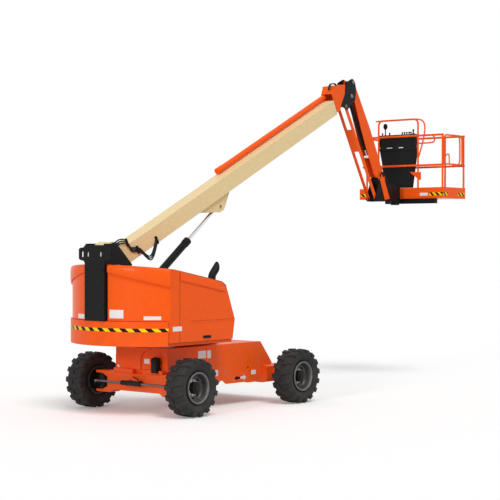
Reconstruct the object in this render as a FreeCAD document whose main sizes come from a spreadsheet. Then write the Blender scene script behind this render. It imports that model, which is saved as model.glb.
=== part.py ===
"""Telescopic boom lift: wheeled chassis, swinging turntable, two-stage boom, levelling jib and work platform.

Millimetres, +Z up, +X towards the platform end. Every sub-part is drawn either in the machine frame, whose
X starts at the steer axle, or along its own arm, and is then placed. Sizes come from the spreadsheet.
"""
import FreeCAD, Part
import math
import os
import Sketcher
from FreeCAD import Placement, Rotation, Vector

DRIVING = {
    # alias: (value, meaning)
    "steer_axle_place": (-3325, "X of the steer axle in the part's own frame"),
    "wheel_base": (2440, "steer axle to drive axle"),
    "half_track": (1014, "centre plane to tyre centre"),
    "tyre_radius": (423, "out to the lug tips"),
    "tyre_width": (327, "over the shoulders"),
    "lug_height": (26, "tread lugs over the tyre's carcass"),
    "lug_count": (16, "tread lugs in each of a tyre's two rows"),
    "rim_radius": (212, "bead seat of the wheel"),
    "kingpin_place": (780, "Y of the steering pivots"),
    "steer_arm": (200, "kingpin to tie-rod ball"),
    "frame_top": (955, "top of the chassis box"),
    "frame_bottom": (345, "belly of the chassis box"),
    "frame_half_width": (530, "half of the chassis box width"),
    "frame_wall": (16, "chassis plate"),
    "lashing_front": (620, "X of the front lashing holes"),
    "lashing_back": (1850, "X of the back lashing holes"),
    "lashing_height": (566, "height of the lashing holes"),
    "swing_place": (1220, "X of the swing axis"),
    "deck_bottom": (1030, "underside of the turntable"),
    "deck_thick": (40, "turntable plate"),
    "hood_half_width": (990, "outside of the hoods"),
    "hood_wall": (12, "moulded hood wall"),
    "hood_crease": (1370, "height of the crease along the hood side"),
    "tail_radius": (1260, "rear curve of the counterweight"),
    "tail_centre": (325, "X of the centre of that curve"),
    "ballast_top": (1385, "top of the counterweight"),
    "slot_half": (215, "half of the boom slot between the hoods"),
    "upright_inner": (170, "inner face of the boom uprights"),
    "upright_thick": (30, "boom upright plate"),
    "pivot_x": (-780, "X of the boom pivot"),
    "pivot_z": (2360, "height of the boom pivot"),
    "boom_angle": (26.2, "elevation of the boom as parked"),
    "boom_half_width": (130, "half of the base tube width"),
    "boom_above": (-73, "top of the base tube from the pivot line"),
    "boom_depth": (253, "depth of the base tube"),
    "boom_wall": (8, "boom plate"),
    "boom_reach": (5970, "pivot to the mouth of the base tube"),
    "fly_half_width": (105, "half of the fly tube width"),
    "fly_depth": (210, "depth of the fly tube"),
    "nose_reach": (6504, "boom pivot to the levelling pivot"),
    "nose_drop": (-207, "levelling pivot from the pivot line"),
    "jib_angle": (60, "droop of the jib as parked"),
    "jib_length": (1830, "between the jib arm pivots"),
    "jib_top_x": (5220, "X of the upper arm's top pivot"),
    "jib_top_z": (5290, "height of the upper arm's top pivot"),
    "jib_low_x": (5020, "X of the lower arm's top pivot"),
    "jib_low_z": (4865, "height of the lower arm's top pivot"),
    "lift_base_x": (-617, "X of the lift cylinder's base pin"),
    "lift_base_z": (1260, "height of the lift cylinder's base pin"),
    "lift_eye_x": (1720, "X of the lift cylinder's rod eye"),
    "lift_eye_z": (3060, "height of the lift cylinder's rod eye"),
    "tilt_base_x": (5270, "X of the jib cylinder's base pin"),
    "tilt_base_z": (4930, "height of the jib cylinder's base pin"),
    "tilt_eye_x": (5790, "X of the jib cylinder's rod eye"),
    "tilt_eye_z": (4030, "height of the jib cylinder's rod eye"),
    "rotator_x": (6660, "X of the platform's turning axis"),
    "deck_level": (3310, "top of the platform floor"),
    "platform_near": (6840, "X of the platform's boom side"),
    "platform_far": (7600, "X of the platform's outer side"),
    "platform_half": (915, "half of the platform width"),
    "rail_radius": (19, "guard rail tube"),
    "rail_top": (4441, "centre of the top rail"),
    "rail_mid": (3900, "centre of the mid rail"),
    "toe_top": (3495, "top of the toe boards"),
    "toe_bottom": (3295, "bottom of the toe boards"),
    "toe_thick": (4, "toe board sheet"),
    "hoop_top": (4745, "centre of the hoop over the console"),
}

document = FreeCAD.newDocument("BoomLift")
sheet = document.addObject("Spreadsheet::Sheet", "Sheet")
for row, (alias, (number, meaning)) in enumerate(DRIVING.items(), start=1):
    sheet.set(f"A{row}", meaning)
    sheet.set(f"B{row}", str(number))
    sheet.setAlias(f"B{row}", alias)
document.recompute()


class Size:
    """A number together with the spreadsheet expression that it stands for."""

    def __init__(self, number, text):
        self.number = number
        self.text = text

    def __add__(self, other):
        return Size(self.number + number_of(other), f"({self.text} + {text_of(other)})")

    def __sub__(self, other):
        return Size(self.number - number_of(other), f"({self.text} - {text_of(other)})")

    def __mul__(self, other):
        return Size(self.number * number_of(other), f"({self.text} * {text_of(other)})")

    def __truediv__(self, other):
        return Size(self.number / number_of(other), f"({self.text} / {text_of(other)})")

    def __neg__(self):
        return Size(-self.number, f"(-{self.text})")

    def __radd__(self, other):
        return Size(other + self.number, f"({other} + {self.text})")

    def __rmul__(self, other):
        return self * other

    def __rsub__(self, other):
        return Size(other - self.number, f"({other} - {self.text})")


def number_of(size):
    return size.number if isinstance(size, Size) else size


def text_of(size):
    return size.text if isinstance(size, Size) else f"({size})"


class Driving:
    """Every alias of the sheet as a Size."""


S = Driving()
for alias in DRIVING:
    setattr(S, alias, Size(float(sheet.get(alias)), f"Sheet.{alias}"))

SIDES = {"left": 1, "right": -1}
nodes = {}


# ---------------------------------------------------------------- drawing helpers

def bind(thing, name, size):
    """Set a property and tie it to the sheet."""
    thing.setExpression(name, text_of(size))


def arc_through(start, end, radius):
    """The short arc from start to end; a positive radius turns left, a negative one right."""
    chord = end - start
    height = math.sqrt(radius ** 2 - (chord.Length / 2) ** 2)
    left = Vector(-chord.y, chord.x, 0).normalize()
    turn = 1 if radius > 0 else -1
    centre = (start + end) / 2 + left * (height * turn)
    middle = centre - left * (abs(radius) * turn)
    return Part.Arc(start, middle, end)


def draw(body, plane, points, shift=0, name="Outline"):
    """A closed, fully dimensioned sketch. A third value on a point makes the edge after it an arc."""
    sketch = body.newObject("Sketcher::SketchObject", name)
    support = [item for item in body.Origin.OriginFeatures if item.Role == plane][0]
    sketch.AttachmentSupport = (support, "")
    sketch.MapMode = "FlatFace"
    bind(sketch, "AttachmentOffset.Base.z", shift)
    count = len(points)
    places = [Vector(number_of(point[0]), number_of(point[1]), 0) for point in points]
    ends = []
    for index, point in enumerate(points):
        start, end = places[index], places[(index + 1) % count]
        if len(point) > 2:
            sketch.addGeometry(arc_through(start, end, number_of(point[2])), False)
            ends.append((1, 2) if number_of(point[2]) > 0 else (2, 1))
        else:
            sketch.addGeometry(Part.LineSegment(start, end), False)
            ends.append((1, 2))
    for index in range(count):
        after = (index + 1) % count
        sketch.addConstraint(Sketcher.Constraint("Coincident", index, ends[index][1], after, ends[after][0]))
    for index, point in enumerate(points):
        rules = [("DistanceX", point[0], "x"), ("DistanceY", point[1], "y")]
        for kind, size, letter in rules:
            rule = Sketcher.Constraint(kind, index, ends[index][0], float(number_of(size)))
            sketch.renameConstraint(sketch.addConstraint(rule), f"{letter}{index}")
            bind(sketch, f"Constraints.{letter}{index}", size)
        if len(point) > 2:
            size = point[2] if number_of(point[2]) > 0 else -point[2]
            rule = Sketcher.Constraint("Radius", index, number_of(size))
            sketch.renameConstraint(sketch.addConstraint(rule), f"radius{index}")
            bind(sketch, f"Constraints.radius{index}", size)
    return sketch


def slab(name, plane, points, low, high):
    """A pad of an outline between two positions along the plane's own world axis."""
    body = document.addObject("PartDesign::Body", name)
    sketch = draw(body, plane, points, -high if plane == "XZ_Plane" else low)
    pad = body.newObject("PartDesign::Pad", "Plate")
    pad.Profile = sketch
    thick = high - low
    pad.Length = number_of(thick)
    bind(pad, "Length", thick)
    body.Tip = pad
    return body


def turned(name, points):
    """A solid of revolution about the Y axis from (y, radius) points."""
    body = document.addObject("PartDesign::Body", name)
    sketch = draw(body, "YZ_Plane", points)
    spin = body.newObject("PartDesign::Revolution", "Turned")
    spin.Profile = sketch
    spin.ReferenceAxis = (sketch, ["H_Axis"])
    spin.Angle = 360
    body.Tip = spin
    return body


def block(name, x_range, y_range, z_range):
    """A plain box between three pairs of positions."""
    box = document.addObject("Part::Box", name)
    for side, letter, (low, high) in (("Length", "x", x_range), ("Width", "y", y_range), ("Height", "z", z_range)):
        bind(box, side, high - low)
        bind(box, f"Placement.Base.{letter}", low)
    return box


def brick(name, x_range, y_range, z_range):
    """A padded box that is a sub-part by itself."""
    (x_low, x_high), (y_low, y_high) = x_range, y_range
    corners = [(x_low, y_low), (x_high, y_low), (x_high, y_high), (x_low, y_high)]
    return slab(name, "XY_Plane", corners, *z_range)


TURNS = {"x": Rotation(Vector(0, 1, 0), 90), "y": Rotation(Vector(1, 0, 0), -90), "z": Rotation()}


def bar(name, along, radius, start, length):
    """A round bar from start, a point, along a machine axis."""
    rod = document.addObject("Part::Cylinder", name)
    rod.Placement = Placement(Vector(0, 0, 0), TURNS[along])
    bind(rod, "Radius", radius)
    bind(rod, "Height", length)
    for letter, size in zip("xyz", start):
        bind(rod, f"Placement.Base.{letter}", size)
    return rod


def cross_pin(name, radius, x, z, half):
    """A bar across the machine, from -half to half."""
    return bar(name, "y", radius, (x, -half, z), half * 2)


def ring(name, along, outer, inner, start, length):
    """A tube: bar less bar."""
    hole = bar(f"{name}Bore", along, inner, start, length)
    return less(name, bar(f"{name}Round", along, outer, start, length), [hole])


def joined(name, parts):
    union = document.addObject("Part::MultiFuse", name)
    union.Shapes = parts
    union.Refine = True
    return union


def less(name, base, tools):
    cut = document.addObject("Part::Cut", name)
    cut.Base = base
    cut.Tool = tools[0] if len(tools) == 1 else joined(f"{name}Tools", tools)
    cut.Refine = True
    return cut


def both_sides(name, thing):
    """The thing and its mirror image across the centre plane."""
    mirror = document.addObject("Part::Mirroring", f"{name}Mirror")
    mirror.Source = thing
    mirror.Normal = Vector(0, 1, 0)
    return [thing, mirror]


def piped(path_points, bend, radius):
    """A bent round tube: straight cylinders joined by ring segments of one bend radius."""
    pieces = []
    start = path_points[0]
    for before, corner, after in zip(path_points, path_points[1:], path_points[2:]):
        back, ahead = (before - corner).normalize(), (after - corner).normalize()
        opening = back.getAngle(ahead)
        reach = bend / math.tan(opening / 2)
        first, last = corner + back * reach, corner + ahead * reach
        centre = corner + (back + ahead).normalize() * math.hypot(reach, bend)
        pieces.append(Part.makeCylinder(radius, (first - start).Length, start, first - start))
        disc = Part.Face(Part.Wire([Part.makeCircle(radius, first, back)]))
        pieces.append(disc.revolve(centre, back.cross(first - centre), 180 - math.degrees(opening)))
        start = last
    end = path_points[-1]
    pieces.append(Part.makeCylinder(radius, (end - start).Length, start, end - start))
    return pieces[0].fuse(pieces[1:]).removeSplitter()


def shaped(name, shape):
    """A part whose shape is computed here from sheet sizes."""
    feature = document.addObject("Part::Feature", name)
    feature.Shape = shape
    return feature


def node(thing, label, x=0, y=0, z=0, tilt=None):
    """Name a finished sub-part, put it in its place and list it for export."""
    thing.Label = label
    if tilt is not None:
        thing.Placement = Placement(Vector(0, 0, 0), Rotation(Vector(0, 1, 0), number_of(tilt)))
        bind(thing, "Placement.Rotation.Angle", tilt)
    for letter, size in (("x", S.steer_axle_place + x), ("y", y), ("z", z)):
        bind(thing, f"Placement.Base.{letter}", size)
    nodes[label] = thing


# ---------------------------------------------------------------- chassis

def chassis_frame():
    """Welded box between the axles, open underneath, raised over the steer axle."""
    outline = [
        (20, S.frame_top), (20, 610), (330, 610), (430, 400), (1250, 400), (1330, S.frame_bottom),
        (1750, S.frame_bottom), (1830, 330), (2165, 330), (2165, 585), (2425, 585), (2425, 620),
        (2150, S.frame_top),
    ]
    outer = slab("FrameBox", "XZ_Plane", outline, -S.frame_half_width, S.frame_half_width)
    wall = S.frame_wall
    inner = slab("FrameRoom", "XZ_Plane", [
        (450, 300), (2150, 300), (2150, S.frame_top - wall), (450, S.frame_top - wall),
    ], -S.frame_half_width + wall, S.frame_half_width - wall)
    web = block("FrameWeb", (1200, 1216), (-S.frame_half_width + wall, S.frame_half_width - wall),
                (400, S.frame_top - wall))
    holes = [bar("LashingHole", "y", 20, (x, -S.frame_half_width - 10, S.lashing_height),
                 2 * S.frame_half_width + 20) for x in (S.lashing_front, S.lashing_back)]
    shell = less("FrameShell", outer, [inner] + holes)
    node(joined("ChassisFrame", [shell, web]), "chassis_frame")


def steer_axle():
    """Beam with an open jaw at each end that holds a steering knuckle."""
    axle = S.tyre_radius
    half = [
        (0, axle + 145), (470, axle + 145), (540, axle + 160), (835, axle + 160), (835, axle + 122),
        (700, axle + 122), (600, axle + 70), (600, axle - 70), (700, axle - 122), (835, axle - 122),
        (835, axle - 160), (540, axle - 160), (470, axle - 118), (0, axle - 118),
    ]
    beam = slab("AxleHalf", "YZ_Plane", half, -95, 95)
    holes = [bar("KingpinBore", "z", 32, (0, S.kingpin_place, 200), 450)]
    side = less("AxleJaw", beam, holes)
    pad = block("AxleSeat", (20, 95), (-330, 330), (axle + 145, 610))
    node(joined("SteerAxle", both_sides("AxleJaw", side) + [pad]), "steer_axle")


def drive_axle():
    """Housing under the rear of the frame, with a flange and a spindle each side."""
    axle = S.tyre_radius
    housing = slab("DriveHousing", "YZ_Plane", [
        (-640, 330), (-560, 310), (560, 310), (640, 330), (640, 560), (560, 585), (-560, 585), (-640, 560),
    ], 2170, 2580)
    ends = []
    for side in SIDES.values():
        ends.append(bar("DriveFlange", "y", 120, (S.wheel_base, 620 if side > 0 else -790, axle), 170))
        ends.append(bar("DriveSpindle", "y", 45, (S.wheel_base, 780 if side > 0 else -1080, axle), 300))
    node(joined("DriveAxle", [housing] + ends), "drive_axle")


def swing_bearing():
    node(ring("SwingBearing", "z", 330, 250, (S.swing_place, 0, S.frame_top), S.deck_bottom - S.frame_top - 5),
         "swing_bearing")


def steering():
    """Double-ended cylinder across the axle, its rod, and a knuckle at each kingpin."""
    height = S.tyre_radius + 14
    barrel = ring("SteerTube", "y", 36, 17, (-S.steer_arm, -190, height), 380)
    lugs = [block("SteerLug", (-S.steer_arm + 30, -95), (y - 20, y + 20), (height - 30, height + 30))
            for y in (-110, 110)]
    node(joined("SteerCylinder", [barrel] + lugs), "steer_cylinder_barrel")

    rod = cross_pin("SteerBar", 16, -S.steer_arm, height, 700)
    eyes = [bar("SteerEye", "z", 30, (-S.steer_arm, side * 730, height - 14), 28) for side in SIDES.values()]
    node(joined("SteerRod", [rod] + eyes), "steer_cylinder_rod")

    for name, side in SIDES.items():
        start = S.kingpin_place * side
        trunk = bar("KnuckleTrunk", "z", 68, (0, start, S.tyre_radius - 117), 234)
        pin = bar("Kingpin", "z", 31.5, (0, start, S.tyre_radius - 158), 316)
        spindle = bar("KnuckleSpindle", "y", 45, (0, start + 40 if side > 0 else -1080, S.tyre_radius), 260)
        arm = slab("KnuckleArm", "XY_Plane", [
            (-60, side * 735), (-60, side * 800), (-S.steer_arm - 25, side * 755), (-S.steer_arm - 25, side * 705),
        ], height - 45, height - 18)
        node(joined(f"Knuckle{name}", [trunk, pin, spindle, arm]), f"knuckle_{name}")


# ---------------------------------------------------------------- wheels

def faceted(profile):
    """A solid of flats about the axle through (y, apothem) stations; one flat lies at the bottom."""
    sides = 2 * int(number_of(S.lug_count))
    rings = []
    for y, apothem in profile:
        radius = apothem / math.cos(math.pi / sides)
        turns = [math.tau * (index + 0.5) / sides for index in range(sides)]
        rings.append([Vector(radius * math.sin(turn), y, radius * math.cos(turn)) for turn in turns])
    outlines = [rings[0], rings[-1]]
    for ring_a, ring_b in zip(rings, rings[1:]):
        outlines += [(ring_a[index - 1], ring_a[index], ring_b[index], ring_b[index - 1]) for index in range(sides)]
    flats = [Part.Face(Part.makePolygon([*outline, outline[0]])) for outline in outlines]
    solid = Part.makeSolid(Part.makeShell(flats))
    return solid if solid.Volume > 0 else solid.reversed()


def tyre_shape():
    """Carcass with two staggered rows of slanted lugs that run down over the shoulders."""
    half, crown = number_of(S.tyre_width) / 2, number_of(S.tyre_radius)
    tread, bead = crown - number_of(S.lug_height), number_of(S.rim_radius)
    carcass = faceted([(-half + 30, bead + 24), (-half, bead + 88), (-half + 26, tread),
                       (half - 26, tread), (half, bead + 88), (half - 30, bead + 24)])
    count = 2 * int(number_of(S.lug_count))
    lugs = []
    for index in range(count):
        side = 1 if index % 2 == 0 else -1
        plan = [Vector(along, y * side, tread - 80)
                for y, along in ((4, -32), (half - 8, 6), (half - 8, 44), (4, 4))]
        lug = Part.Face(Part.makePolygon(plan + plan[:1])).extrude(Vector(0, 0, 150))
        lug.rotate(Vector(0, 0, 0), Vector(0, 1, 0), 360 * index / count)
        lugs.append(lug)
    rounded = carcass.fuse(lugs).common(faceted([(-half - 1, crown), (half + 1, crown)]))
    return rounded.cut(faceted([(-half - 1, bead), (half + 1, bead)])).removeSplitter()


def wheel(axle_name, x, side_name):
    """Tyre, and rim with its dish, hub and cap turned about the axle."""
    side = SIDES[side_name]
    seat, lip = S.rim_radius - 1, S.rim_radius - 14
    rim = turned("Rim", [
        (-140 * side, seat), (-140 * side, lip), (-12 * side, lip), (-12 * side, 46), (75 * side, 46),
        (75 * side, 0), (124 * side, 0), (124 * side, 58), (108 * side, 58), (108 * side, 84),
        (8 * side, 84), (8 * side, lip), (140 * side, lip), (140 * side, seat),
    ])
    for kind, thing in (("tyre", shaped("Tyre", tyre_shape())), ("rim", rim)):
        node(thing, f"{kind}_{axle_name}_{side_name}", x, S.half_track * side, S.tyre_radius)


# ---------------------------------------------------------------- turntable

def turntable():
    """Deck over the bearing, boom uprights, tail plate, counterweight and the engine block."""
    slot, deck_top = S.slot_half, S.deck_bottom + S.deck_thick
    deck = slab("Deck", "XY_Plane", [
        (-450, -960), (950, -960), (950, -420), (1250, -380), (1600, -200), (1600, 200), (1250, 380),
        (950, 420), (950, 960), (-450, 960), (-450, 105), (-850, 105), (-850, -105), (-450, -105),
    ], S.deck_bottom, deck_top)
    lug = slab("LiftLug", "XZ_Plane", [
        (-760, deck_top), (-500, deck_top), (S.lift_base_x + 55, 1290), (S.lift_base_x + 25, 1320),
        (S.lift_base_x - 25, 1320), (S.lift_base_x - 55, 1290),
    ], 75, 103)
    pin = cross_pin("LiftPin", 25, S.lift_base_x, S.lift_base_z, 100)
    node(joined("TurntableDeck", [deck, pin] + both_sides("LiftLug", lug)), "turntable_deck")

    inner, thick = S.upright_inner, S.upright_thick
    side = slab("Upright", "XZ_Plane", [
        (-925, S.ballast_top), (-440, S.ballast_top), (-440, deck_top), (-380, deck_top), (-380, 2190),
        (-690, 2490), (-925, 2490),
    ], inner, inner + thick)
    pin = cross_pin("BoomPin", 40, S.pivot_x, S.pivot_z, inner + thick + 10)
    node(joined("Uprights", both_sides("Upright", side) + [pin]), "turntable_uprights")

    plate = slab("TailSheet", "YZ_Plane", [
        (-200, S.ballast_top), (200, S.ballast_top), (200, 2235), (320, 2260), (320, 2425), (200, 2440),
        (200, 2470), (-200, 2470), (-200, 2440), (-320, 2425), (-320, 2260), (-200, 2235),
    ], -945, -930)
    node(plate, "tail_plate")

    tail = S.tail_radius
    mass = slab("Ballast", "XY_Plane", [
        (-455, S.hood_half_width), (-455, -S.hood_half_width, -tail), 
    ], S.deck_bottom, S.ballast_top)
    notch = block("BallastNotch", (-860, -400), (-112, 112), (1000, 1500))
    node(less("Counterweight", mass, [notch]), "counterweight")

    node(brick("Engine", (-350, 150), (-850, -400), (deck_top, 1620)), "engine_block")


def hood(side_name):
    """Moulded cover: plan outline, roof line and front slope cut through, then hollowed."""
    side = SIDES[side_name]
    deck_top = S.deck_bottom + S.deck_thick

    def solid(name, inset, low):
        inner = S.slot_half
        outer = S.hood_half_width - inset
        front = 990 - inset
        tail = S.tail_radius - 25 - inset
        rear_x = S.tail_centre - math.sqrt(number_of(tail) ** 2 - number_of(inner) ** 2)
        side_x = S.tail_centre - math.sqrt(number_of(tail) ** 2 - number_of(outer) ** 2)
        plan = [(rear_x, inner * side), (front, inner * side), (front, outer * side), (side_x, outer * side, tail * side)]
        body = slab(name, "XY_Plane", plan, low, 2300)
        drop = inset
        above = slab(f"{name}Above", "XZ_Plane", [
            (-1200, 2228 - drop), (-300, 2120 - drop), (700, 1935 - drop), (790 - inset, 1880 - drop),
            (990 - inset, S.hood_crease), (925 - inset, 1000), (1300, 1000), (1300, 2500), (-1200, 2500),
        ], -1100, 1100)
        return less(f"{name}Trim", body, [above])

    shell = less(f"HoodShell{side_name}", solid(f"HoodOuter{side_name}", 0, deck_top + 5),
                 [solid(f"HoodInner{side_name}", S.hood_wall, 900)])
    step = block("HoodStep", (-1200, -450), (-1100, 1100), (1000, S.ballast_top + 5))
    node(less(f"Hood{side_name}", shell, [step]), f"hood_{side_name}")


def exhaust():
    """Outlet elbow that stands on the right-hand hood, its foot cut to the roof."""
    path = [Vector(780, -720, 1700), Vector(780, -720, 2070), Vector(890, -720, 2190)]
    outer = piped(path, 130, 58)
    hollow = piped([path[0] + Vector(0, 0, -1), path[1], path[2] + Vector(1, 0, 1)], 130, 52)
    crease = number_of(S.hood_crease)
    outline = [Vector(x, -400, z) for x, z in ((-300, 2120), (700, 1935), (790, 1880), (990, crease), (-300, crease))]
    hooded = Part.Face(Part.makePolygon(outline + outline[:1])).extrude(Vector(0, -500, 0))
    node(shaped("Exhaust", outer.cut(hollow).cut(hooded)), "exhaust_stack")


# ---------------------------------------------------------------- boom

def boom_base():
    """Rectangular tube that hangs below its pivot, with a root bracket and a knee for the lift cylinder."""
    top, bottom = S.boom_above, S.boom_above - S.boom_depth
    half, wall = S.boom_half_width, S.boom_wall
    tube = slab("BaseTube", "XZ_Plane", [
        (400, bottom), (S.boom_reach, bottom), (S.boom_reach, top), (400, top),
    ], -half, half)
    room = slab("BaseRoom", "XZ_Plane", [
        (420, bottom + wall), (S.boom_reach + 1, bottom + wall), (S.boom_reach + 1, top - wall), (420, top - wall),
    ], -half + wall, half - wall)
    root = slab("BaseRoot", "XZ_Plane", [
        (0, 115, 115), (-115, 0, 115), (-60, -98), (100, bottom), (405, bottom), (405, top), (120, 115),
    ], -half, half)
    bore = cross_pin("BaseBore", 40.5, 0, 0, 200)
    knee = slab("Knee", "XZ_Plane", [
        (2010, bottom), (2440, bottom - 190), (2500, bottom - 222), (2600, bottom - 222), (2660, bottom - 180),
        (2880, bottom),
    ], 62, 80)
    knee = less("KneeEye", knee, [cross_pin("KneeBore", 30, lift_eye_s(), lift_eye_n(), 200)])
    shell = less("BaseShell", joined("BaseSolid", [tube, root]), [room, bore])
    node(joined("BoomBase", [shell] + both_sides("Knee", knee)), "boom_base", S.pivot_x, 0, S.pivot_z, -S.boom_angle)


def along_boom(x, z):
    """Machine position to distance along the boom and offset from the pivot line."""
    angle = math.radians(number_of(S.boom_angle))
    dx, dz = number_of(x) - number_of(S.pivot_x), number_of(z) - number_of(S.pivot_z)
    return dx * math.cos(angle) + dz * math.sin(angle), dz * math.cos(angle) - dx * math.sin(angle)


def lift_eye_s():
    return along_boom(S.lift_eye_x, S.lift_eye_z)[0]


def lift_eye_n():
    return along_boom(S.lift_eye_x, S.lift_eye_z)[1]


def fly_top():
    return S.boom_above - (S.boom_depth - S.fly_depth) / 2


def boom_fly():
    """Inner tube and its nose: two cheek plates that reach the levelling pivot."""
    top, bottom = fly_top(), fly_top() - S.fly_depth
    half, wall = S.fly_half_width, S.boom_wall
    tube = slab("FlyTube", "XZ_Plane", [
        (700, bottom), (6060, bottom), (6060, top), (700, top),
    ], -half, half)
    room = slab("FlyRoom", "XZ_Plane", [
        (690, bottom + wall), (6070, bottom + wall), (6070, top - wall), (690, top - wall),
    ], -half + wall, half - wall)
    cheek = slab("NoseCheek", "XZ_Plane", [
        (5990, -300), (6060, -312), (6180, -210), (6330, -100), (6415, 45), (6105, 145), (5990, 25),
    ], half, half + 15)
    cap = slab("NoseCap", "XZ_Plane", [
        (6010, 30), (6105, 133), (6395, 40), (6400, 52), (6105, 145), (6000, 38),
    ], -half, half)
    node(joined("BoomFly", [less("FlyShell", tube, [room]), cap] + both_sides("NoseCheek", cheek)),
         "boom_fly", S.pivot_x, 0, S.pivot_z, -S.boom_angle)

    fork = slab("ForkCheek", "XZ_Plane", [
        (6180, -210), (S.nose_reach, S.nose_drop - 66, 66), (S.nose_reach + 66, S.nose_drop), (6500, -60),
        (6415, 45), (6330, -100),
    ], half, half + 15)
    stub = bar("ForkStub", "y", 30, (S.nose_reach, 85, S.nose_drop), 34)
    side = joined("ForkSide", [fork, stub])
    node(joined("NoseFork", both_sides("ForkSide", side)), "nose_fork", S.pivot_x, 0, S.pivot_z, -S.boom_angle)


def hose_track():
    """Tube of hoses along the top of the boom, clamped to the fly just outside the mouth."""
    tube = bar("TrackTube", "x", 46, (2980, 78, -14), 3005)
    tail = bar("TrackTail", "x", 50, (2880, 78, -12), 140)
    clamp = block("TrackClamp", (S.boom_reach + 6, S.boom_reach + 36), (60, 96), (fly_top(), -40))
    node(joined("HoseTrack", [tube, tail, clamp]), "hose_track", S.pivot_x, 0, S.pivot_z, -S.boom_angle)


# ---------------------------------------------------------------- levelling bracket and jib

def level_bracket():
    """Two black plates that carry both jib arms and the jib cylinder, joined by their pins."""
    plate = slab("LevelPlate", "XZ_Plane", [
        (5031, 5133), (5025, 5278), (5180, 5350), (5225, 5348), (5277, 5299), (5307, 5205), (5301, 5083),
        (5277, 4978), (5062, 4808), (4964, 4828), (4908, 4844), (4873, 4905), (4896, 4986), (4943, 5076),
    ], 88, 100)
    bore = cross_pin("LevelBore", 30.5, nose_x(), nose_z(), 200)
    plate = less("LevelPlateBored", plate, [bore])
    hanger = slab("TiltHanger", "XZ_Plane", [
        (5185, 5290), (5235, 4930), (5305, 4930), (5255, 5290),
    ], 38, 50)
    pins = [cross_pin("UpperPin", 24, S.jib_top_x, S.jib_top_z, 98),
            cross_pin("TiltPin", 18, S.tilt_base_x, S.tilt_base_z, 50)]
    stub = bar("LowerStub", "y", 20, (S.jib_low_x, 71, S.jib_low_z), 28)
    plates = both_sides("LevelPlate", plate) + both_sides("TiltHanger", hanger) + both_sides("LowerStub", stub)
    node(joined("LevelBracket", plates + pins), "level_bracket")


def nose_x():
    angle = math.radians(number_of(S.boom_angle))
    return S.pivot_x + number_of(S.nose_reach) * math.cos(angle) - number_of(S.nose_drop) * math.sin(angle)


def nose_z():
    angle = math.radians(number_of(S.boom_angle))
    return S.pivot_z + number_of(S.nose_reach) * math.sin(angle) + number_of(S.nose_drop) * math.cos(angle)


def jib_arms():
    """Upper arm, a channel that deepens towards its foot, and lower arm, a pair of bars outside its cheeks."""
    web = slab("ArmWeb", "XZ_Plane", [
        (60, 58), (950, 88), (1360, 73), (1750, 48), (1750, 61), (1360, 83), (950, 98), (60, 72),
    ], -68, 68)
    cheek = slab("ArmCheek", "XZ_Plane", [
        (0, -55), (320, -83), (850, -146), (1230, -177), (1720, -195), (1800, -150), (S.jib_length, -55, 58),
        (S.jib_length, 55), (1750, 61), (1360, 83), (950, 98), (60, 72), (0, 55, 58),
    ], 58, 68)
    bores = [cross_pin("ArmBoreTop", 24.5, 0, 0, 100), cross_pin("ArmBoreLow", 24.5, S.jib_length, 0, 100)]
    cheek = less("ArmCheekBored", cheek, bores)
    node(joined("JibUpperArm", [web] + both_sides("ArmCheek", cheek)), "jib_upper_arm",
         S.jib_top_x, 0, S.jib_top_z, S.jib_angle)

    side = slab("LinkBar", "XZ_Plane", [
        (0, -36), (S.jib_length, -36, 38), (S.jib_length, 36), (0, 36, 38),
    ], 73, 83)
    side = less("LinkBarBored", side, [cross_pin("LinkBoreTop", 20.5, 0, 0, 100),
                                       cross_pin("LinkBoreLow", 20.5, S.jib_length, 0, 100)])
    node(joined("JibLowerArm", both_sides("LinkBar", side)), "jib_lower_arm",
         S.jib_low_x, 0, S.jib_low_z, S.jib_angle)


def jib_foot():
    """Bracket at the foot of the jib with the platform's rotating drive."""
    angle = math.radians(number_of(S.jib_angle))
    dx, dz = number_of(S.jib_length) * math.cos(angle), -number_of(S.jib_length) * math.sin(angle)
    upper_x, upper_z = S.jib_top_x + dx, S.jib_top_z + dz
    lower_x, lower_z = S.jib_low_x + dx, S.jib_low_z + dz
    plate = slab("FootPlate", "XZ_Plane", [
        (lower_x - 55, lower_z - 20), (lower_x - 20, lower_z + 50), (upper_x - 60, upper_z + 10),
        (upper_x - 20, upper_z + 60), (upper_x + 50, upper_z + 40), (6330, 3560), (6560, 3560), (6560, 3250),
        (6100, 3230), (lower_x, lower_z - 50),
    ], 88, 100)
    pin = cross_pin("FootUpperPin", 24, upper_x, upper_z, 98)
    stub = bar("FootStub", "y", 20, (lower_x, 71, lower_z), 28)
    node(joined("JibFoot", both_sides("FootPlate", plate) + both_sides("FootStub", stub) + [pin]), "jib_foot_bracket")

    drive = bar("DriveRound", "z", 95, (S.rotator_x, 0, 3290), 250)
    neck = block("DriveNeck", (6400, S.rotator_x), (-88, 88), (3300, 3520))
    bore = bar("DriveBore", "z", 45.5, (S.rotator_x, 0, 3200), 500)
    node(less("Rotator", joined("DriveBody", [drive, neck]), [bore]), "platform_rotator")


# ---------------------------------------------------------------- cylinders

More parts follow.
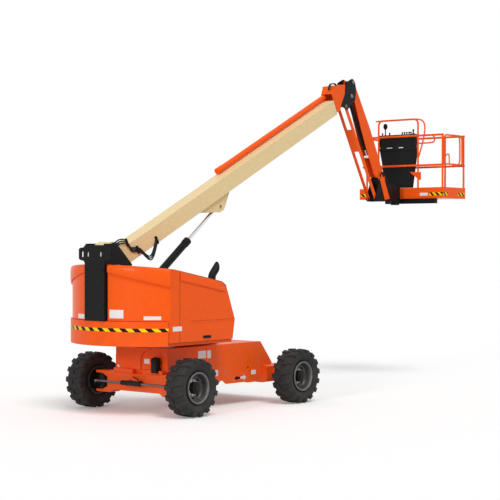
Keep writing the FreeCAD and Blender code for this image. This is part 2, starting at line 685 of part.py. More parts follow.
def cylinder(name, base, eye, barrel, barrel_length, rod, eye_radius, foot_half, eye_half, pin, start):
    """Barrel and rod along the line from the base pin to the rod's eye; both start at the base pin."""
    dx, dz = number_of(eye[0]) - number_of(base[0]), number_of(eye[1]) - number_of(base[1])
    length = math.hypot(dx, dz)
    tilt = -math.degrees(math.atan2(dz, dx))
    foot = cross_pin(f"{name}Foot", eye_radius, 0, 0, foot_half)
    tube = ring(f"{name}Tube", "x", barrel, rod + 8, (eye_radius * 0.7, 0, 0), barrel_length - eye_radius * 0.7)
    gland = ring(f"{name}Gland", "x", barrel + 7, rod + 0.5, (barrel_length - 90, 0, 0), 90)
    plug = bar(f"{name}Plug", "x", barrel - 2, (eye_radius * 0.7, 0, 0), 30)
    bore = cross_pin(f"{name}FootBore", pin + 0.5, 0, 0, foot_half + 60)
    node(less(f"{name}Barrel", joined(f"{name}BarrelSolid", [foot, tube, gland, plug]), [bore]),
         f"{name}_cylinder_barrel", base[0], 0, base[1], tilt)
    shaft = bar(f"{name}Shaft", "x", rod, (start, 0, 0), length - start - 10)
    piston = bar(f"{name}Piston", "x", rod + 6, (start, 0, 0), 60)
    head = cross_pin(f"{name}Head", eye_radius, length, 0, eye_half)
    stub = cross_pin(f"{name}Stub", pin, length, 0, eye_half + 3)
    node(joined(f"{name}Rod", [shaft, piston, head, stub]), f"{name}_cylinder_rod", base[0], 0, base[1], tilt)


# ---------------------------------------------------------------- platform

def platform():
    near, far, half = S.platform_near, S.platform_far, S.platform_half
    sheet_in = S.toe_thick
    floor = brick("Floor", (near + sheet_in, far - sheet_in), (-half + sheet_in, half - sheet_in),
                  (S.toe_bottom, S.deck_level))
    node(floor, "platform_floor")

    outer = block("ToeOuter", (near, far), (-half, half), (S.toe_bottom, S.toe_top))
    inner = block("ToeInner", (near + sheet_in, far - sheet_in), (-half + sheet_in, half - sheet_in),
                  (S.toe_bottom - 1, S.toe_top + 1))
    node(less("ToeBoards", outer, [inner]), "platform_toe_boards")

    spindle = bar("TurnPost", "z", 45, (S.rotator_x, 0, 3215), 345)
    foot = bar("TurnFoot", "z", 80, (S.rotator_x, 0, 3180), 100)
    neck = block("SupportNeck", (S.rotator_x, near + 60), (-60, 60), (3205, 3283))
    beam = block("SupportBeam", (near - 30, near + 60), (-760, 320), (3205, S.toe_bottom))
    node(joined("Support", [spindle, foot, neck, beam]), "platform_support")

    rails()
    console = slab("ConsoleBox", "XZ_Plane", [
        (near + 45, 4190), (near + 160, 4190), (near + 160, 4400), (near + 110, 4480), (near + 45, 4480),
    ], -290, 500)
    node(console, "platform_console")
    panel = slab("ConsolePanel", "YZ_Plane", [
        (-330, 4190), (500, 4190), (450, 3960), (400, 3500), (-230, 3500), (-300, 3960),
    ], near + 60, near + 75)
    node(panel, "console_panel")


def rails():
    """Guard rails of round tube on posts that stand on the floor, the console hoop, and the swinging gate."""
    radius, post_radius, bend = number_of(S.rail_radius), number_of(S.rail_radius) - 1, 90
    inside = number_of(S.toe_thick) + radius
    near, far = number_of(S.platform_near) + inside, number_of(S.platform_far) - inside
    half = number_of(S.platform_half) - inside
    top, middle, base = number_of(S.rail_top), number_of(S.rail_mid), number_of(S.deck_level)
    hoop_top = number_of(S.hoop_top)
    corner = half - bend - 40
    hoop_left, hoop_right = 500, -368

    def level(height):
        """One rail round three sides, open at the gate end."""
        path = [Vector(near, -half - radius, height), Vector(near, half, height), Vector(far, half, height),
                Vector(far, -half - radius, height)]
        return piped(path, bend, radius)

    posts = [Part.makeCylinder(post_radius, top - base, Vector(x, y, base))
             for x, y in ((near, -half), (near, corner), (far, corner), (far, -half), (far, -494))]
    hoop = piped([Vector(near, hoop_left, base), Vector(near, hoop_left, hoop_top),
                  Vector(near, hoop_right, hoop_top), Vector(near, hoop_right, base)], bend, radius - 2)
    brackets = [Part.makeBox(45 - inside, 30, 40, Vector(near, y, z))
                for y in (hoop_left - 30, hoop_right) for z in (4230, 4400)]
    shape = level(top)
    for piece in [level(middle), hoop] + posts + brackets:
        shape = shape.fuse(piece)
    node(shaped("Rails", shape.removeSplitter()), "platform_rails")

    gap, gate_radius = 50, radius - 3
    loop = [Vector(near + gap, -half, middle), Vector(near + gap, -half, top),
            Vector(far - gap, -half, top), Vector(far - gap, -half, middle)]
    bow = piped(loop, bend, gate_radius)
    sill = Part.makeCylinder(gate_radius - 1, far - near - 2 * gap, Vector(near + gap, -half, middle + gate_radius),
                             Vector(1, 0, 0))
    node(shaped("Gate", bow.fuse(sill).removeSplitter()), "platform_gate")


# ---------------------------------------------------------------- build and export

chassis_frame()
steer_axle()
drive_axle()
swing_bearing()
steering()
for side_name in SIDES:
    wheel("steer", 0, side_name)
    wheel("drive", S.wheel_base, side_name)
turntable()
for side_name in SIDES:
    hood(side_name)
exhaust()
boom_base()
boom_fly()
hose_track()
level_bracket()
jib_arms()
jib_foot()
cylinder("lift", (S.lift_base_x, S.lift_base_z), (S.lift_eye_x, S.lift_eye_z), 57, 2089, 28, 42, 68, 52, 25, 560)
cylinder("jib", (S.tilt_base_x, S.tilt_base_z), (S.tilt_eye_x, S.tilt_eye_z), 33, 900, 17, 36, 34, 50, 18, 80)
platform()

document.recompute()
broken = [thing.Name for thing in document.Objects if "Invalid" in thing.State or "Error" in thing.State]
for label, thing in nodes.items():
    if thing.Shape.isNull() or not thing.Shape.isValid():
        broken.append(label)
if broken:
    raise RuntimeError(f"failed: {broken}")

os.makedirs("parts", exist_ok=True)
for label, thing in nodes.items():
    thing.Shape.exportStep(f"parts/{label}.step")
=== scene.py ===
"""Looks of a telescopic boom lift: paint, tyres, wheels, stripes, trim, hoses, controls and stage."""
import math

import bmesh
import bpy
from bpy.props import FloatProperty, FloatVectorProperty, IntProperty, PointerProperty
from bpy.types import Operator, Panel, PropertyGroup
from mathutils import Matrix, Vector


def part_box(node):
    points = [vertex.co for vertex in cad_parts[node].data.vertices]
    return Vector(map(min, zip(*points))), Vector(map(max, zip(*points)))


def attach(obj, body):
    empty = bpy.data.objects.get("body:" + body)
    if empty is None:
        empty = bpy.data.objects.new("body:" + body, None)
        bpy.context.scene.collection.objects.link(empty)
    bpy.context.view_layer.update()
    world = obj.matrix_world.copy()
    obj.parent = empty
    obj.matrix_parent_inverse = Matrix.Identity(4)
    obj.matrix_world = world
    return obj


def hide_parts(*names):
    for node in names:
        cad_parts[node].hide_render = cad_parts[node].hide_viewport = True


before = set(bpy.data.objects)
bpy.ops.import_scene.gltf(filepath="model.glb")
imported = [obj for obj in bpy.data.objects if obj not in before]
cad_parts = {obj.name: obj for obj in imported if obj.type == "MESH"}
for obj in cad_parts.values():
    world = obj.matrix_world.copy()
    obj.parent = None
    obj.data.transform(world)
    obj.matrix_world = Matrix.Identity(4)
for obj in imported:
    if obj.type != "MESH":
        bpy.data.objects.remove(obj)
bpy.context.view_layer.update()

bl_info = {
    "name": "Boom Lift Looks",
    "version": (1, 0, 0),
    "blender": (4, 5, 0),
    "location": "View3D > Sidebar > Boom Lift",
    "description": "Finishes the parts of a telescopic boom lift and sets its studio stage",
    "category": "Object",
}

SIDES = {"left": 1, "right": -1}
X, Y, Z = Vector((1, 0, 0)), Vector((0, 1, 0)), Vector((0, 0, 1))


# ---------------------------------------------------------------- places taken from the frame

def low(node):
    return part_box(node)[0]


def high(node):
    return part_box(node)[1]


def centre(node):
    return (low(node) + high(node)) / 2


def at(x, y, z):
    """A place in metres from the ground under the middle of the steer axle."""
    return Vector((centre("steer_axle").x + x, y, z))


# The boom at rest: its rise from level, the way it points and the way square to it.
BOOM_ANGLE = math.radians(26.2)
ALONG = Vector((math.cos(BOOM_ANGLE), 0, math.sin(BOOM_ANGLE)))
RISE = Vector((-ALONG.z, 0, ALONG.x))

# Thickness of a blank plate or arrow, how far a warning band stands out, and how far a rebuilt part
# keeps inside the outline it replaces.
PLATE = 0.0012
BAND_PROUD = 0.0015
INSET = 0.0005


# ---------------------------------------------------------------- settings

def colour(name, description, default):
    return FloatVectorProperty(name=name, description=description, default=default, size=3, min=0, max=1,
                               subtype="COLOR")


def length(name, description, default):
    return FloatProperty(name=name, description=description, default=default, min=0, unit="LENGTH")


def share(name, description, default):
    return FloatProperty(name=name, description=description, default=default, min=0, max=1, subtype="FACTOR")


class PaintSettings(PropertyGroup):
    orange: colour("Orange", "Enamel of the chassis, hoods, jib and platform", (0.95, 0.106, 0.005))
    cream: colour("Cream", "Enamel of the boom", (0.84, 0.65, 0.345))
    black: colour("Black", "Enamel of the mast plate, cylinders and brackets", (0.0045, 0.0048, 0.005))
    wear: share("Edge wear", "How far the enamel is rubbed at its edges", 0.25)
    dust: share("Dust", "How much road dust lies low on the machine", 0.2)


class TyreSettings(PropertyGroup):
    lugs: IntProperty(name="Lugs", description="Tread lugs on each shoulder", default=16, min=8, max=40)
    lug_height: length("Lug height", "How far a lug stands over the carcass", 0.026)
    rubber: colour("Rubber", "Colour of the tyres", (0.024, 0.024, 0.0245))


class WheelSettings(PropertyGroup):
    nuts: IntProperty(name="Wheel nuts", description="Nuts on each hub", default=9, min=4, max=12)
    nut_circle: length("Nut circle", "Radius of the ring of nuts", 0.105)
    openings: IntProperty(name="Openings", description="Openings in each dish", default=8, min=0, max=16)
    grey: colour("Wheel grey", "Enamel of the wheel discs", (0.034, 0.035, 0.037))


class StripeSettings(PropertyGroup):
    band: length("Band height", "Height of the warning band", 0.05)
    drop: length("Drop", "From the counterweight's top down to its warning band", 0.096)
    pitch: length("Pitch", "Length of one yellow and black pair", 0.19)
    narrow: length("Narrow pitch", "Length of one pair on the toe boards", 0.115)
    slant: FloatProperty(name="Slant", description="How far the bars lean for each metre of height",
                         default=1.1)
    yellow: colour("Yellow", "Bright half of the warning band", (0.95, 0.66, 0.01))


class StageSettings(PropertyGroup):
    lens: FloatProperty(name="Lens", description="Focal length on a 36 mm sensor", default=106, min=20,
                        unit="CAMERA")
    heading: FloatProperty(name="Heading", description="Camera's bearing from +Y towards +X",
                           default=math.radians(50.185), subtype="ANGLE")
    dip: FloatProperty(name="Dip", description="How far the camera looks down", default=math.radians(0.38),
                       subtype="ANGLE")
    back: length("Back", "Camera's distance behind the steer axle", 15.68)
    side: length("Side", "Camera's distance to the right of the centre plane", 15.18)
    eye: length("Eye height", "Camera's height", 2.538)
    floor: colour("Floor", "Colour of the floor", (0.98, 0.98, 0.98))
    glow: share("Glow", "Brightness added to the floor where it is only looked at", 0.15)
    bounce: colour("Bounce", "How much light the floor gives back to the lift", (0.75, 0.75, 0.75))
    sky: share("Sky", "Level of the soft light from all round", 0.43)
    sun: FloatProperty(name="Sun", description="Level of the high lamp", default=1.4, min=0)
    low_sun: FloatProperty(name="Low sun", description="Level of the lamp low behind the lift", default=0.85,
                           min=0)


class LiftSettings(PropertyGroup):
    paint: PointerProperty(type=PaintSettings, name="Paint", description="Enamels and their wear")
    tyre: PointerProperty(type=TyreSettings, name="Tyres", description="Tread and rubber")
    wheel: PointerProperty(type=WheelSettings, name="Wheels", description="Discs and nuts")
    stripe: PointerProperty(type=StripeSettings, name="Stripes", description="Warning bands")
    stage: PointerProperty(type=StageSettings, name="Stage", description="Camera, floor and lamps")


def settings():
    return bpy.context.scene.boom_lift


# ---------------------------------------------------------------- shader groups

def new_group(name, inputs, outputs):
    """An empty shader group with float inputs {name: default} and outputs {name: socket type}."""
    group = bpy.data.node_groups.new(name, "ShaderNodeTree")
    for socket, default in inputs.items():
        made = group.interface.new_socket(socket, in_out="INPUT", socket_type="NodeSocketFloat")
        made.default_value = default
    for socket, kind in outputs.items():
        group.interface.new_socket(socket, in_out="OUTPUT", socket_type=kind)
    return group, group.nodes.new("NodeGroupInput"), group.nodes.new("NodeGroupOutput")


def wire(tree, source, target):
    tree.links.new(source, target)


def feed(tree, operand, socket):
    """Give a socket a value of its own, or a link from another socket."""
    if isinstance(operand, bpy.types.NodeSocket):
        wire(tree, operand, socket)
    else:
        socket.default_value = operand


def maths(tree, operation, first, second=0.5, clamp=False):
    """One Math node; each operand is a socket or a number. Returns its output."""
    made = tree.nodes.new("ShaderNodeMath")
    made.operation = operation
    made.use_clamp = clamp
    feed(tree, first, made.inputs[0])
    feed(tree, second, made.inputs[1])
    return made.outputs[0]


def noise(tree, scale, detail, roughness=0.55):
    """Noise on Object coordinates; scale is a socket or a number. Returns its factor."""
    place = tree.nodes.new("ShaderNodeTexCoord")
    made = tree.nodes.new("ShaderNodeTexNoise")
    made.inputs["Detail"].default_value = detail
    made.inputs["Roughness"].default_value = roughness
    wire(tree, place.outputs["Object"], made.inputs["Vector"])
    feed(tree, scale, made.inputs["Scale"])
    return made.outputs["Fac"]


def ramp(tree, source, start, end):
    """A smooth step of a value from 0 at start to 1 at end."""
    made = tree.nodes.new("ShaderNodeMapRange")
    made.interpolation_type = "SMOOTHSTEP"
    wire(tree, source, made.inputs["Value"])
    made.inputs["From Min"].default_value = start
    made.inputs["From Max"].default_value = end
    return made.outputs["Result"]


def edge_wear_group():
    """Mask of rubbed edges: where a rounded normal leaves the true one, broken up by noise."""
    group, entry, result = new_group("Edge wear", {"Width": 0.004, "Amount": 0.3, "Break-up": 40.0},
                                     {"Mask": "NodeSocketFloat"})
    bevel = group.nodes.new("ShaderNodeBevel")
    bevel.samples = 4
    wire(group, entry.outputs["Width"], bevel.inputs["Radius"])
    true = group.nodes.new("ShaderNodeNewGeometry")
    dot = group.nodes.new("ShaderNodeVectorMath")
    dot.operation = "DOT_PRODUCT"
    wire(group, bevel.outputs["Normal"], dot.inputs[0])
    wire(group, true.outputs["Normal"], dot.inputs[1])
    bent = maths(group, "MULTIPLY", maths(group, "SUBTRACT", 1.0, dot.outputs["Value"]), 6.0, clamp=True)
    broken = ramp(group, noise(group, entry.outputs["Break-up"], detail=6), 0.48, 0.62)
    share_worn = maths(group, "MULTIPLY", bent, broken)
    worn = maths(group, "MULTIPLY", share_worn, entry.outputs["Amount"], clamp=True)
    wire(group, worn, result.inputs["Mask"])
    return group


def dust_group():
    """Mask of road dust: strongest near the ground and on upward faces, in soft blotches."""
    group, entry, result = new_group("Road dust", {"Top": 1.0, "Amount": 0.2}, {"Mask": "NodeSocketFloat"})
    place = group.nodes.new("ShaderNodeTexCoord")
    split = group.nodes.new("ShaderNodeSeparateXYZ")
    wire(group, place.outputs["Object"], split.inputs[0])
    fade = group.nodes.new("ShaderNodeMapRange")
    wire(group, split.outputs["Z"], fade.inputs["Value"])
    wire(group, entry.outputs["Top"], fade.inputs["From Min"])
    fade.inputs["From Max"].default_value = 0.0
    true = group.nodes.new("ShaderNodeNewGeometry")
    facing = group.nodes.new("ShaderNodeSeparateXYZ")
    wire(group, true.outputs["Normal"], facing.inputs[0])
    upward = maths(group, "MULTIPLY", ramp(group, facing.outputs["Z"], 0.5, 1.0), 0.35)
    where = maths(group, "ADD", fade.outputs["Result"], upward, clamp=True)
    blotch = ramp(group, noise(group, 5.0, detail=8, roughness=0.65), 0.3, 0.75)
    wire(group, maths(group, "MULTIPLY", maths(group, "MULTIPLY", where, blotch), entry.outputs["Amount"]),
         result.inputs["Mask"])
    return group


def grain_group():
    """Height and value of a fine grain: orange peel of enamel, moulded or cast skin, or rubber."""
    group, entry, result = new_group("Fine grain", {"Scale": 300.0, "Coarse share": 0.3},
                                     {"Height": "NodeSocketFloat", "Tone": "NodeSocketFloat"})
    fine = noise(group, entry.outputs["Scale"], detail=3)
    coarse = noise(group, maths(group, "MULTIPLY", entry.outputs["Scale"], 0.07), detail=5)
    blend = group.nodes.new("ShaderNodeMix")
    wire(group, entry.outputs["Coarse share"], blend.inputs["Factor"])
    wire(group, fine, blend.inputs["A"])
    wire(group, coarse, blend.inputs["B"])
    wire(group, blend.outputs["Result"], result.inputs["Height"])
    wire(group, coarse, result.inputs["Tone"])
    return group


def stripe_group():
    """Mask of slanted bars along a surface: one where the bright half of each pair lies."""
    group, entry, result = new_group("Slanted bars", {"Pitch": 0.2, "Slant": 1.0},
                                     {"Mask": "NodeSocketFloat"})
    place = group.nodes.new("ShaderNodeUVMap")
    split = group.nodes.new("ShaderNodeSeparateXYZ")
    wire(group, place.outputs["UV"], split.inputs[0])
    leaning = maths(group, "MULTIPLY", split.outputs["Y"], entry.outputs["Slant"])
    along = maths(group, "ADD", split.outputs["X"], leaning)
    along = maths(group, "DIVIDE", along, entry.outputs["Pitch"])
    wire(group, maths(group, "LESS_THAN", maths(group, "FRACT", along), 0.5), result.inputs["Mask"])
    return group


GROUP_MAKERS = {"Edge wear": edge_wear_group, "Road dust": dust_group, "Fine grain": grain_group,
                "Slanted bars": stripe_group}


def place_group(tree, name, **values):
    """A node of one shared group in this tree, with its own input values."""
    group = bpy.data.node_groups.get(name) or GROUP_MAKERS[name]()
    made = tree.nodes.new("ShaderNodeGroup")
    made.node_tree = group
    for socket, number in values.items():
        made.inputs[socket.replace("_", " ").capitalize()].default_value = number
    return made


# ---------------------------------------------------------------- materials

DUST_COLOUR = (0.42, 0.36, 0.29)
DUST_TOP = 1.3
BARE_METAL = (0.33, 0.32, 0.31)
COAT_ROUGHNESS = 0.08
GRAIN_DEPTH = 0.002


def mix_colour(tree, factor, first, second):
    """One colour Mix node; each colour is a socket or a tuple of three. Returns its colour."""
    made = tree.nodes.new("ShaderNodeMix")
    made.data_type = "RGBA"
    wire(tree, factor, made.inputs["Factor"])
    for slot, value in (("A", first), ("B", second)):
        socket = next(s for s in made.inputs if s.name == slot and s.type == "RGBA")
        feed(tree, (*value, 1) if isinstance(value, tuple) else value, socket)
    return next(s for s in made.outputs if s.type == "RGBA")


def finish(name, base, rough, metallic=0.0, coat=0.0, grain=300.0, coarse=0.3, bump=0.02, tone=0.06,
           wear=0.0, dust=0.0, rounding=0.004, specular=0.5):
    """A painted, moulded or bare surface: base colour with tone drift, grain, edge wear and road dust."""
    if name in bpy.data.materials:
        return bpy.data.materials[name]
    material = bpy.data.materials.new(name)
    material.use_nodes = True
    tree = material.node_tree
    shader = tree.nodes["Principled BSDF"]
    grains = place_group(tree, "Fine grain", scale=grain, coarse_share=coarse)
    darker = tuple(max(0.0, channel * (1 - tone)) for channel in base)
    lighter = tuple(min(1.0, channel * (1 + tone)) for channel in base)
    skin = mix_colour(tree, ramp(tree, grains.outputs["Tone"], 0.3, 0.7), darker, lighter)
    roughness = maths(tree, "ADD", rough - 0.04, maths(tree, "MULTIPLY", grains.outputs["Tone"], 0.08))
    if wear > 0:
        mask = place_group(tree, "Edge wear", amount=wear, width=rounding).outputs["Mask"]
        skin = mix_colour(tree, mask, skin, BARE_METAL)
        roughness = maths(tree, "ADD", roughness, maths(tree, "MULTIPLY", mask, 0.25), clamp=True)
    if dust > 0:
        mask = place_group(tree, "Road dust", amount=dust, top=DUST_TOP).outputs["Mask"]
        skin = mix_colour(tree, mask, skin, DUST_COLOUR)
        roughness = maths(tree, "ADD", roughness, maths(tree, "MULTIPLY", mask, 0.4), clamp=True)
    wire(tree, skin, shader.inputs["Base Color"])
    wire(tree, roughness, shader.inputs["Roughness"])
    shader.inputs["Metallic"].default_value = metallic
    shader.inputs["Coat Weight"].default_value = coat
    shader.inputs["Coat Roughness"].default_value = COAT_ROUGHNESS
    shader.inputs["Specular IOR Level"].default_value = specular
    height = tree.nodes.new("ShaderNodeBump")
    height.inputs["Strength"].default_value = bump
    height.inputs["Distance"].default_value = GRAIN_DEPTH
    wire(tree, grains.outputs["Height"], height.inputs["Height"])
    rounded = tree.nodes.new("ShaderNodeBevel")
    rounded.samples = 4
    rounded.inputs["Radius"].default_value = rounding
    wire(tree, rounded.outputs["Normal"], height.inputs["Normal"])
    wire(tree, height.outputs["Normal"], shader.inputs["Normal"])
    return material


def orange_enamel():
    paint = settings().paint
    return finish("Orange enamel", tuple(paint.orange), 0.36, coat=0.05, grain=260, bump=0.03, tone=0.03,
                  wear=paint.wear, dust=paint.dust, specular=0.12)


def hood_enamel():
    paint = settings().paint
    return finish("Moulded orange hood", tuple(paint.orange), 0.3, coat=0.03, grain=180, bump=0.02, tone=0.02,
                  dust=paint.dust * 0.5, rounding=0.012, specular=0.13)


def cast_orange():
    paint = settings().paint
    return finish("Cast orange ballast", tuple(paint.orange), 0.42, coat=0.05, grain=90, coarse=0.5,
                  bump=0.12, tone=0.04, wear=paint.wear, dust=paint.dust, rounding=0.014, specular=0.12)


def cream_enamel():
    paint = settings().paint
    return finish("Cream enamel", tuple(paint.cream), 0.4, coat=0.05, grain=240, bump=0.03, tone=0.03,
                  wear=paint.wear * 0.5, specular=0.15)


def black_enamel():
    paint = settings().paint
    return finish("Black enamel", tuple(paint.black), 0.46, grain=240, bump=0.05, tone=0.1,
                  wear=paint.wear * 0.6, dust=paint.dust * 0.6, specular=0.14)


# Black plastic of the console, latches and grips; the same black also paints the shade inside the wheels'
# dish openings.
def black_moulding_and_hole_shade():
    return finish("Black moulding", (0.006, 0.006, 0.0065), 0.6, grain=700, coarse=0.1, bump=0.16, tone=0.15,
                  specular=0.15)


def rubber():
    return finish("Tyre rubber", tuple(settings().tyre.rubber), 0.72, grain=420, coarse=0.35, bump=0.2,
                  tone=0.16, dust=settings().paint.dust * 0.35, rounding=0.003, specular=0.2)


def hose_rubber():
    return finish("Hose rubber", (0.009, 0.009, 0.009), 0.5, grain=900, coarse=0.1, bump=0.1, tone=0.15,
                  specular=0.25)


def wheel_enamel():
    return finish("Wheel enamel", tuple(settings().wheel.grey), 0.42, coat=0.15, grain=300, bump=0.06,
                  tone=0.08, wear=0.2, dust=settings().paint.dust)


def rim_lip():
    return finish("Rim flange", (0.13, 0.13, 0.135), 0.4, grain=300, bump=0.05, tone=0.08)


def hard_chrome():
    return finish("Hard chrome", (0.72, 0.73, 0.75), 0.13, metallic=1.0, grain=500, coarse=0.05, bump=0.01,
                  tone=0.02, rounding=0.002)


def zinc():
    return finish("Zinc plating", (0.46, 0.46, 0.44), 0.36, metallic=0.9, grain=600, bump=0.05, tone=0.1,
                  rounding=0.001)


def ground_steel():
    return finish("Ground steel", (0.16, 0.16, 0.165), 0.38, metallic=0.7, grain=500, bump=0.03, tone=0.08,
                  rounding=0.002)


def tread_plate():
    return finish("Aluminium floor", (0.42, 0.43, 0.44), 0.42, metallic=0.8, grain=300, bump=0.05, tone=0.1)


def engine_metal():
    return finish("Engine metal", (0.06, 0.06, 0.065), 0.55, metallic=0.3, grain=120, bump=0.2, tone=0.2)


def blank_plate():
    return finish("Blank plate", (0.8, 0.8, 0.78), 0.4, grain=400, bump=0.02, tone=0.02, rounding=0.0005)


NODE_FINISHES = {
    orange_enamel: ["chassis_frame", "steer_axle", "drive_axle", "boom_fly", "jib_upper_arm", "jib_lower_arm",
                    "hose_track", "platform_toe_boards", "platform_rails", "platform_gate", "turntable_deck"],
    hood_enamel: ["hood_left", "hood_right"],
    cast_orange: ["counterweight"],
    cream_enamel: ["boom_base"],
    black_enamel: ["turntable_uprights", "tail_plate", "exhaust_stack", "nose_fork", "level_bracket",
                   "jib_foot_bracket", "platform_support", "platform_rotator", "knuckle_left",
                   "knuckle_right", "steer_cylinder_barrel", "lift_cylinder_barrel", "jib_cylinder_barrel",
                   "swing_bearing"],
    black_moulding_and_hole_shade: ["platform_console", "console_panel"],
    wheel_enamel: ["rim_steer_left", "rim_steer_right", "rim_drive_left", "rim_drive_right"],
    hard_chrome: ["lift_cylinder_rod", "jib_cylinder_rod"],
    ground_steel: ["steer_cylinder_rod"],
    tread_plate: ["platform_floor"],
    engine_metal: ["engine_block"],
}


class LIFT_OT_paint(Operator):
    """Give every part of the frame its finish"""
    bl_idname = "boom_lift.paint"
    bl_label = "Paint the parts"

    def execute(self, context):
        for maker, names in NODE_FINISHES.items():
            for name in names:
                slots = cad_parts[name].data.materials
                slots.clear()
                slots.append(maker())
        return {"FINISHED"}


# ---------------------------------------------------------------- meshes

def placed(name, data):
    """A new object with this data, in the scene."""
    made = bpy.data.objects.new(name, data)
    bpy.context.scene.collection.objects.link(made)
    return made


def piece(name, vertices, faces, material):
    """A mesh object at the origin with one material."""
    mesh = bpy.data.meshes.new(name)
    mesh.from_pydata([tuple(v) for v in vertices], [], faces)
    mesh.materials.append(material)
    return placed(name, mesh)


def bridge(first, second, count):
    """Faces between two rings of count points each, numbered from first and from second."""
    return [(first + corner, first + (corner + 1) % count, second + (corner + 1) % count, second + corner)
            for corner in range(count)]


def tidy_mesh(made, merge=True):
    """Turn every face outwards, after merging doubles unless merge is off."""
    work = bmesh.new()
    work.from_mesh(made.data)
    if merge:
        bmesh.ops.remove_doubles(work, verts=work.verts, dist=1e-6)
    bmesh.ops.recalc_face_normals(work, faces=work.faces)
    work.to_mesh(made.data)
    work.free()
    return made


def applied(made):
    """Replace the object's mesh by its evaluated one and drop its modifiers."""
    view = bpy.context.evaluated_depsgraph_get()
    mesh = bpy.data.meshes.new_from_object(made.evaluated_get(view))
    old = made.data
    made.modifiers.clear()
    made.data = mesh
    bpy.data.meshes.remove(old)
    return made


def round_edges(made, width):
    """Bevel the sharp edges in two steps."""
    rounding = made.modifiers.new("Rounding", "BEVEL")
    rounding.width, rounding.segments, rounding.limit_method = width, 2, "ANGLE"
    return applied(made)


def lathe(name, profile, middle, material, steps=64, outward=1):
    """Turn a closed profile of (radius, offset) about the Y axis through middle; outward is 1 or -1."""
    vertices, faces = [], []
    count = len(profile)
    for step in range(steps):
        angle = 2 * math.pi * step / steps
        vertices += [middle + Vector((radius * math.cos(angle), outward * offset, radius * math.sin(angle)))
                     for radius, offset in profile]
        faces += bridge(step * count, ((step + 1) % steps) * count, count)
    return smooth_by_angle(tidy_mesh(piece(name, vertices, faces, material)))


def smooth_by_angle(made, degrees=35):
    """Smooth shading with edges sharper than the angle kept crisp."""
    for polygon in made.data.polygons:
        polygon.use_smooth = True
    work = bmesh.new()
    work.from_mesh(made.data)
    for edge in work.edges:
        edge.smooth = len(edge.link_faces) == 2 and edge.calc_face_angle(math.pi) < math.radians(degrees)
    work.to_mesh(made.data)
    work.free()
    return made


def seat(made, body, slot, *replaced):
    """Let a piece ride on a body and stand for the nodes it replaces; the slot is not used."""
    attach(made, body)
    if replaced:
        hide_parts(*replaced)
    return made


def panel(name, origin, right, up, outline, thickness, material, bevel=0.0):
    """A plate: its outline in metres along right and up from origin, its thickness towards the viewer."""
    right, up = right.normalized(), up.normalized()
    out = right.cross(up)
    front = [origin + right * u + up * v + out * thickness for u, v in outline]
    back = [origin + right * u + up * v for u, v in outline]
    count = len(outline)
    faces = [tuple(range(count)), tuple(range(2 * count - 1, count - 1, -1)), *bridge(count, 0, count)]
    made = tidy_mesh(piece(name, front + back, faces, material))
    return round_edges(made, bevel) if bevel else made


def card(name, origin, right, outline, body, slot):
    """A thin blank plate that stands upright and rides on a body."""
    return seat(panel(name, origin, right, Z, outline, PLATE, blank_plate()), body, slot)


def block(name, corner, far, material, bevel=0.0):
    """A box between two corners."""
    width, height = far.y - corner.y, far.z - corner.z
    outline = [(0, 0), (-width, 0), (-width, height), (0, height)]
    return panel(name, Vector((far.x, corner.y, corner.z)), -Y, Z, outline, far.x - corner.x, material, bevel)


def pin_head(name, place, radius, material, proud):
    """A round pin head with a chamfer and a small boss, on a cheek that faces right."""
    profile = [(0.0, -0.004), (radius, -0.004), (radius, proud * 0.7), (radius - 0.004, proud),
               (radius * 0.5, proud), (radius * 0.45, proud + 0.004), (0.0, proud + 0.004)]
    return lathe(name, profile, place, material, 32, -1)


def rounded_outline(width, height, corner, steps=5):
    """A rectangle about its centre with rounded corners."""
    points = []
    for quarter, (side, rise) in enumerate(((1, 1), (-1, 1), (-1, -1), (1, -1))):
        for step in range(steps + 1):
            angle = math.radians(90 * (quarter + step / steps))
            points.append((side * (width / 2 - corner) + corner * math.cos(angle),
                           rise * (height / 2 - corner) + corner * math.sin(angle)))
    return points


def tube(name, route, radius, material, smooth=True):
    """A closed round tube along a route of places, its corners drawn round where it is smooth."""
    line = bpy.data.curves.new(name, "CURVE")
    line.dimensions, line.bevel_depth, line.bevel_resolution = "3D", radius, 3
    line.resolution_u, line.use_fill_caps = 8, True
    spline = line.splines.new("NURBS" if smooth else "POLY")
    spline.points.add(len(route) - 1)
    for point, place in zip(spline.points, route):
        point.co = (*place, 1)
    if smooth:
        spline.order_u, spline.use_endpoint_u = 3, True
    drawn = placed(name, line)
    mesh = bpy.data.meshes.new_from_object(drawn.evaluated_get(bpy.context.evaluated_depsgraph_get()))
    bpy.data.objects.remove(drawn)
    mesh.materials.clear()
    mesh.materials.append(material)
    return smooth_by_angle(tidy_mesh(placed(name, mesh)), 50)


def upright(made, middle):
    """Turn a piece made about the Y axis so that it stands up through middle."""
    made.data.transform(Matrix.Translation(middle) @ Matrix.Rotation(math.radians(90), 4, "X")
                        @ Matrix.Translation(-middle))
    return made


def swept(name, path, section, lows, tops, prouds, material):
    """A moulding on the right of a plan path; its section is in shares of how proud and how tall it is."""
    vertices, count = [], len(section)
    for index, place in enumerate(path):
        before, after = path[max(index - 1, 0)], path[min(index + 1, len(path) - 1)]
        away = (after - before).cross(Z).normalized()
        low_edge, top_edge, proud = lows[index], tops[index], prouds[index]
        vertices += [Vector((place.x, place.y, low_edge + (top_edge - low_edge) * rise)) + away * proud * out
                     for out, rise in section]
    last = count * (len(path) - 1)
    faces = [tuple(range(count)), tuple(range(last, last + count))]
    for step in range(len(path) - 1):
        faces += bridge(count * step, count * (step + 1), count)
    return smooth_by_angle(tidy_mesh(piece(name, vertices, faces, material)), 40)


def flipped(made, name):
    """The same piece on the other side of the centre plane."""
    copy = placed(name, made.data.copy())
    copy.data.transform(Matrix.Scale(-1, 4, (0, 1, 0)))
    copy.data.flip_normals()
    return copy


# ---------------------------------------------------------------- geometry nodes

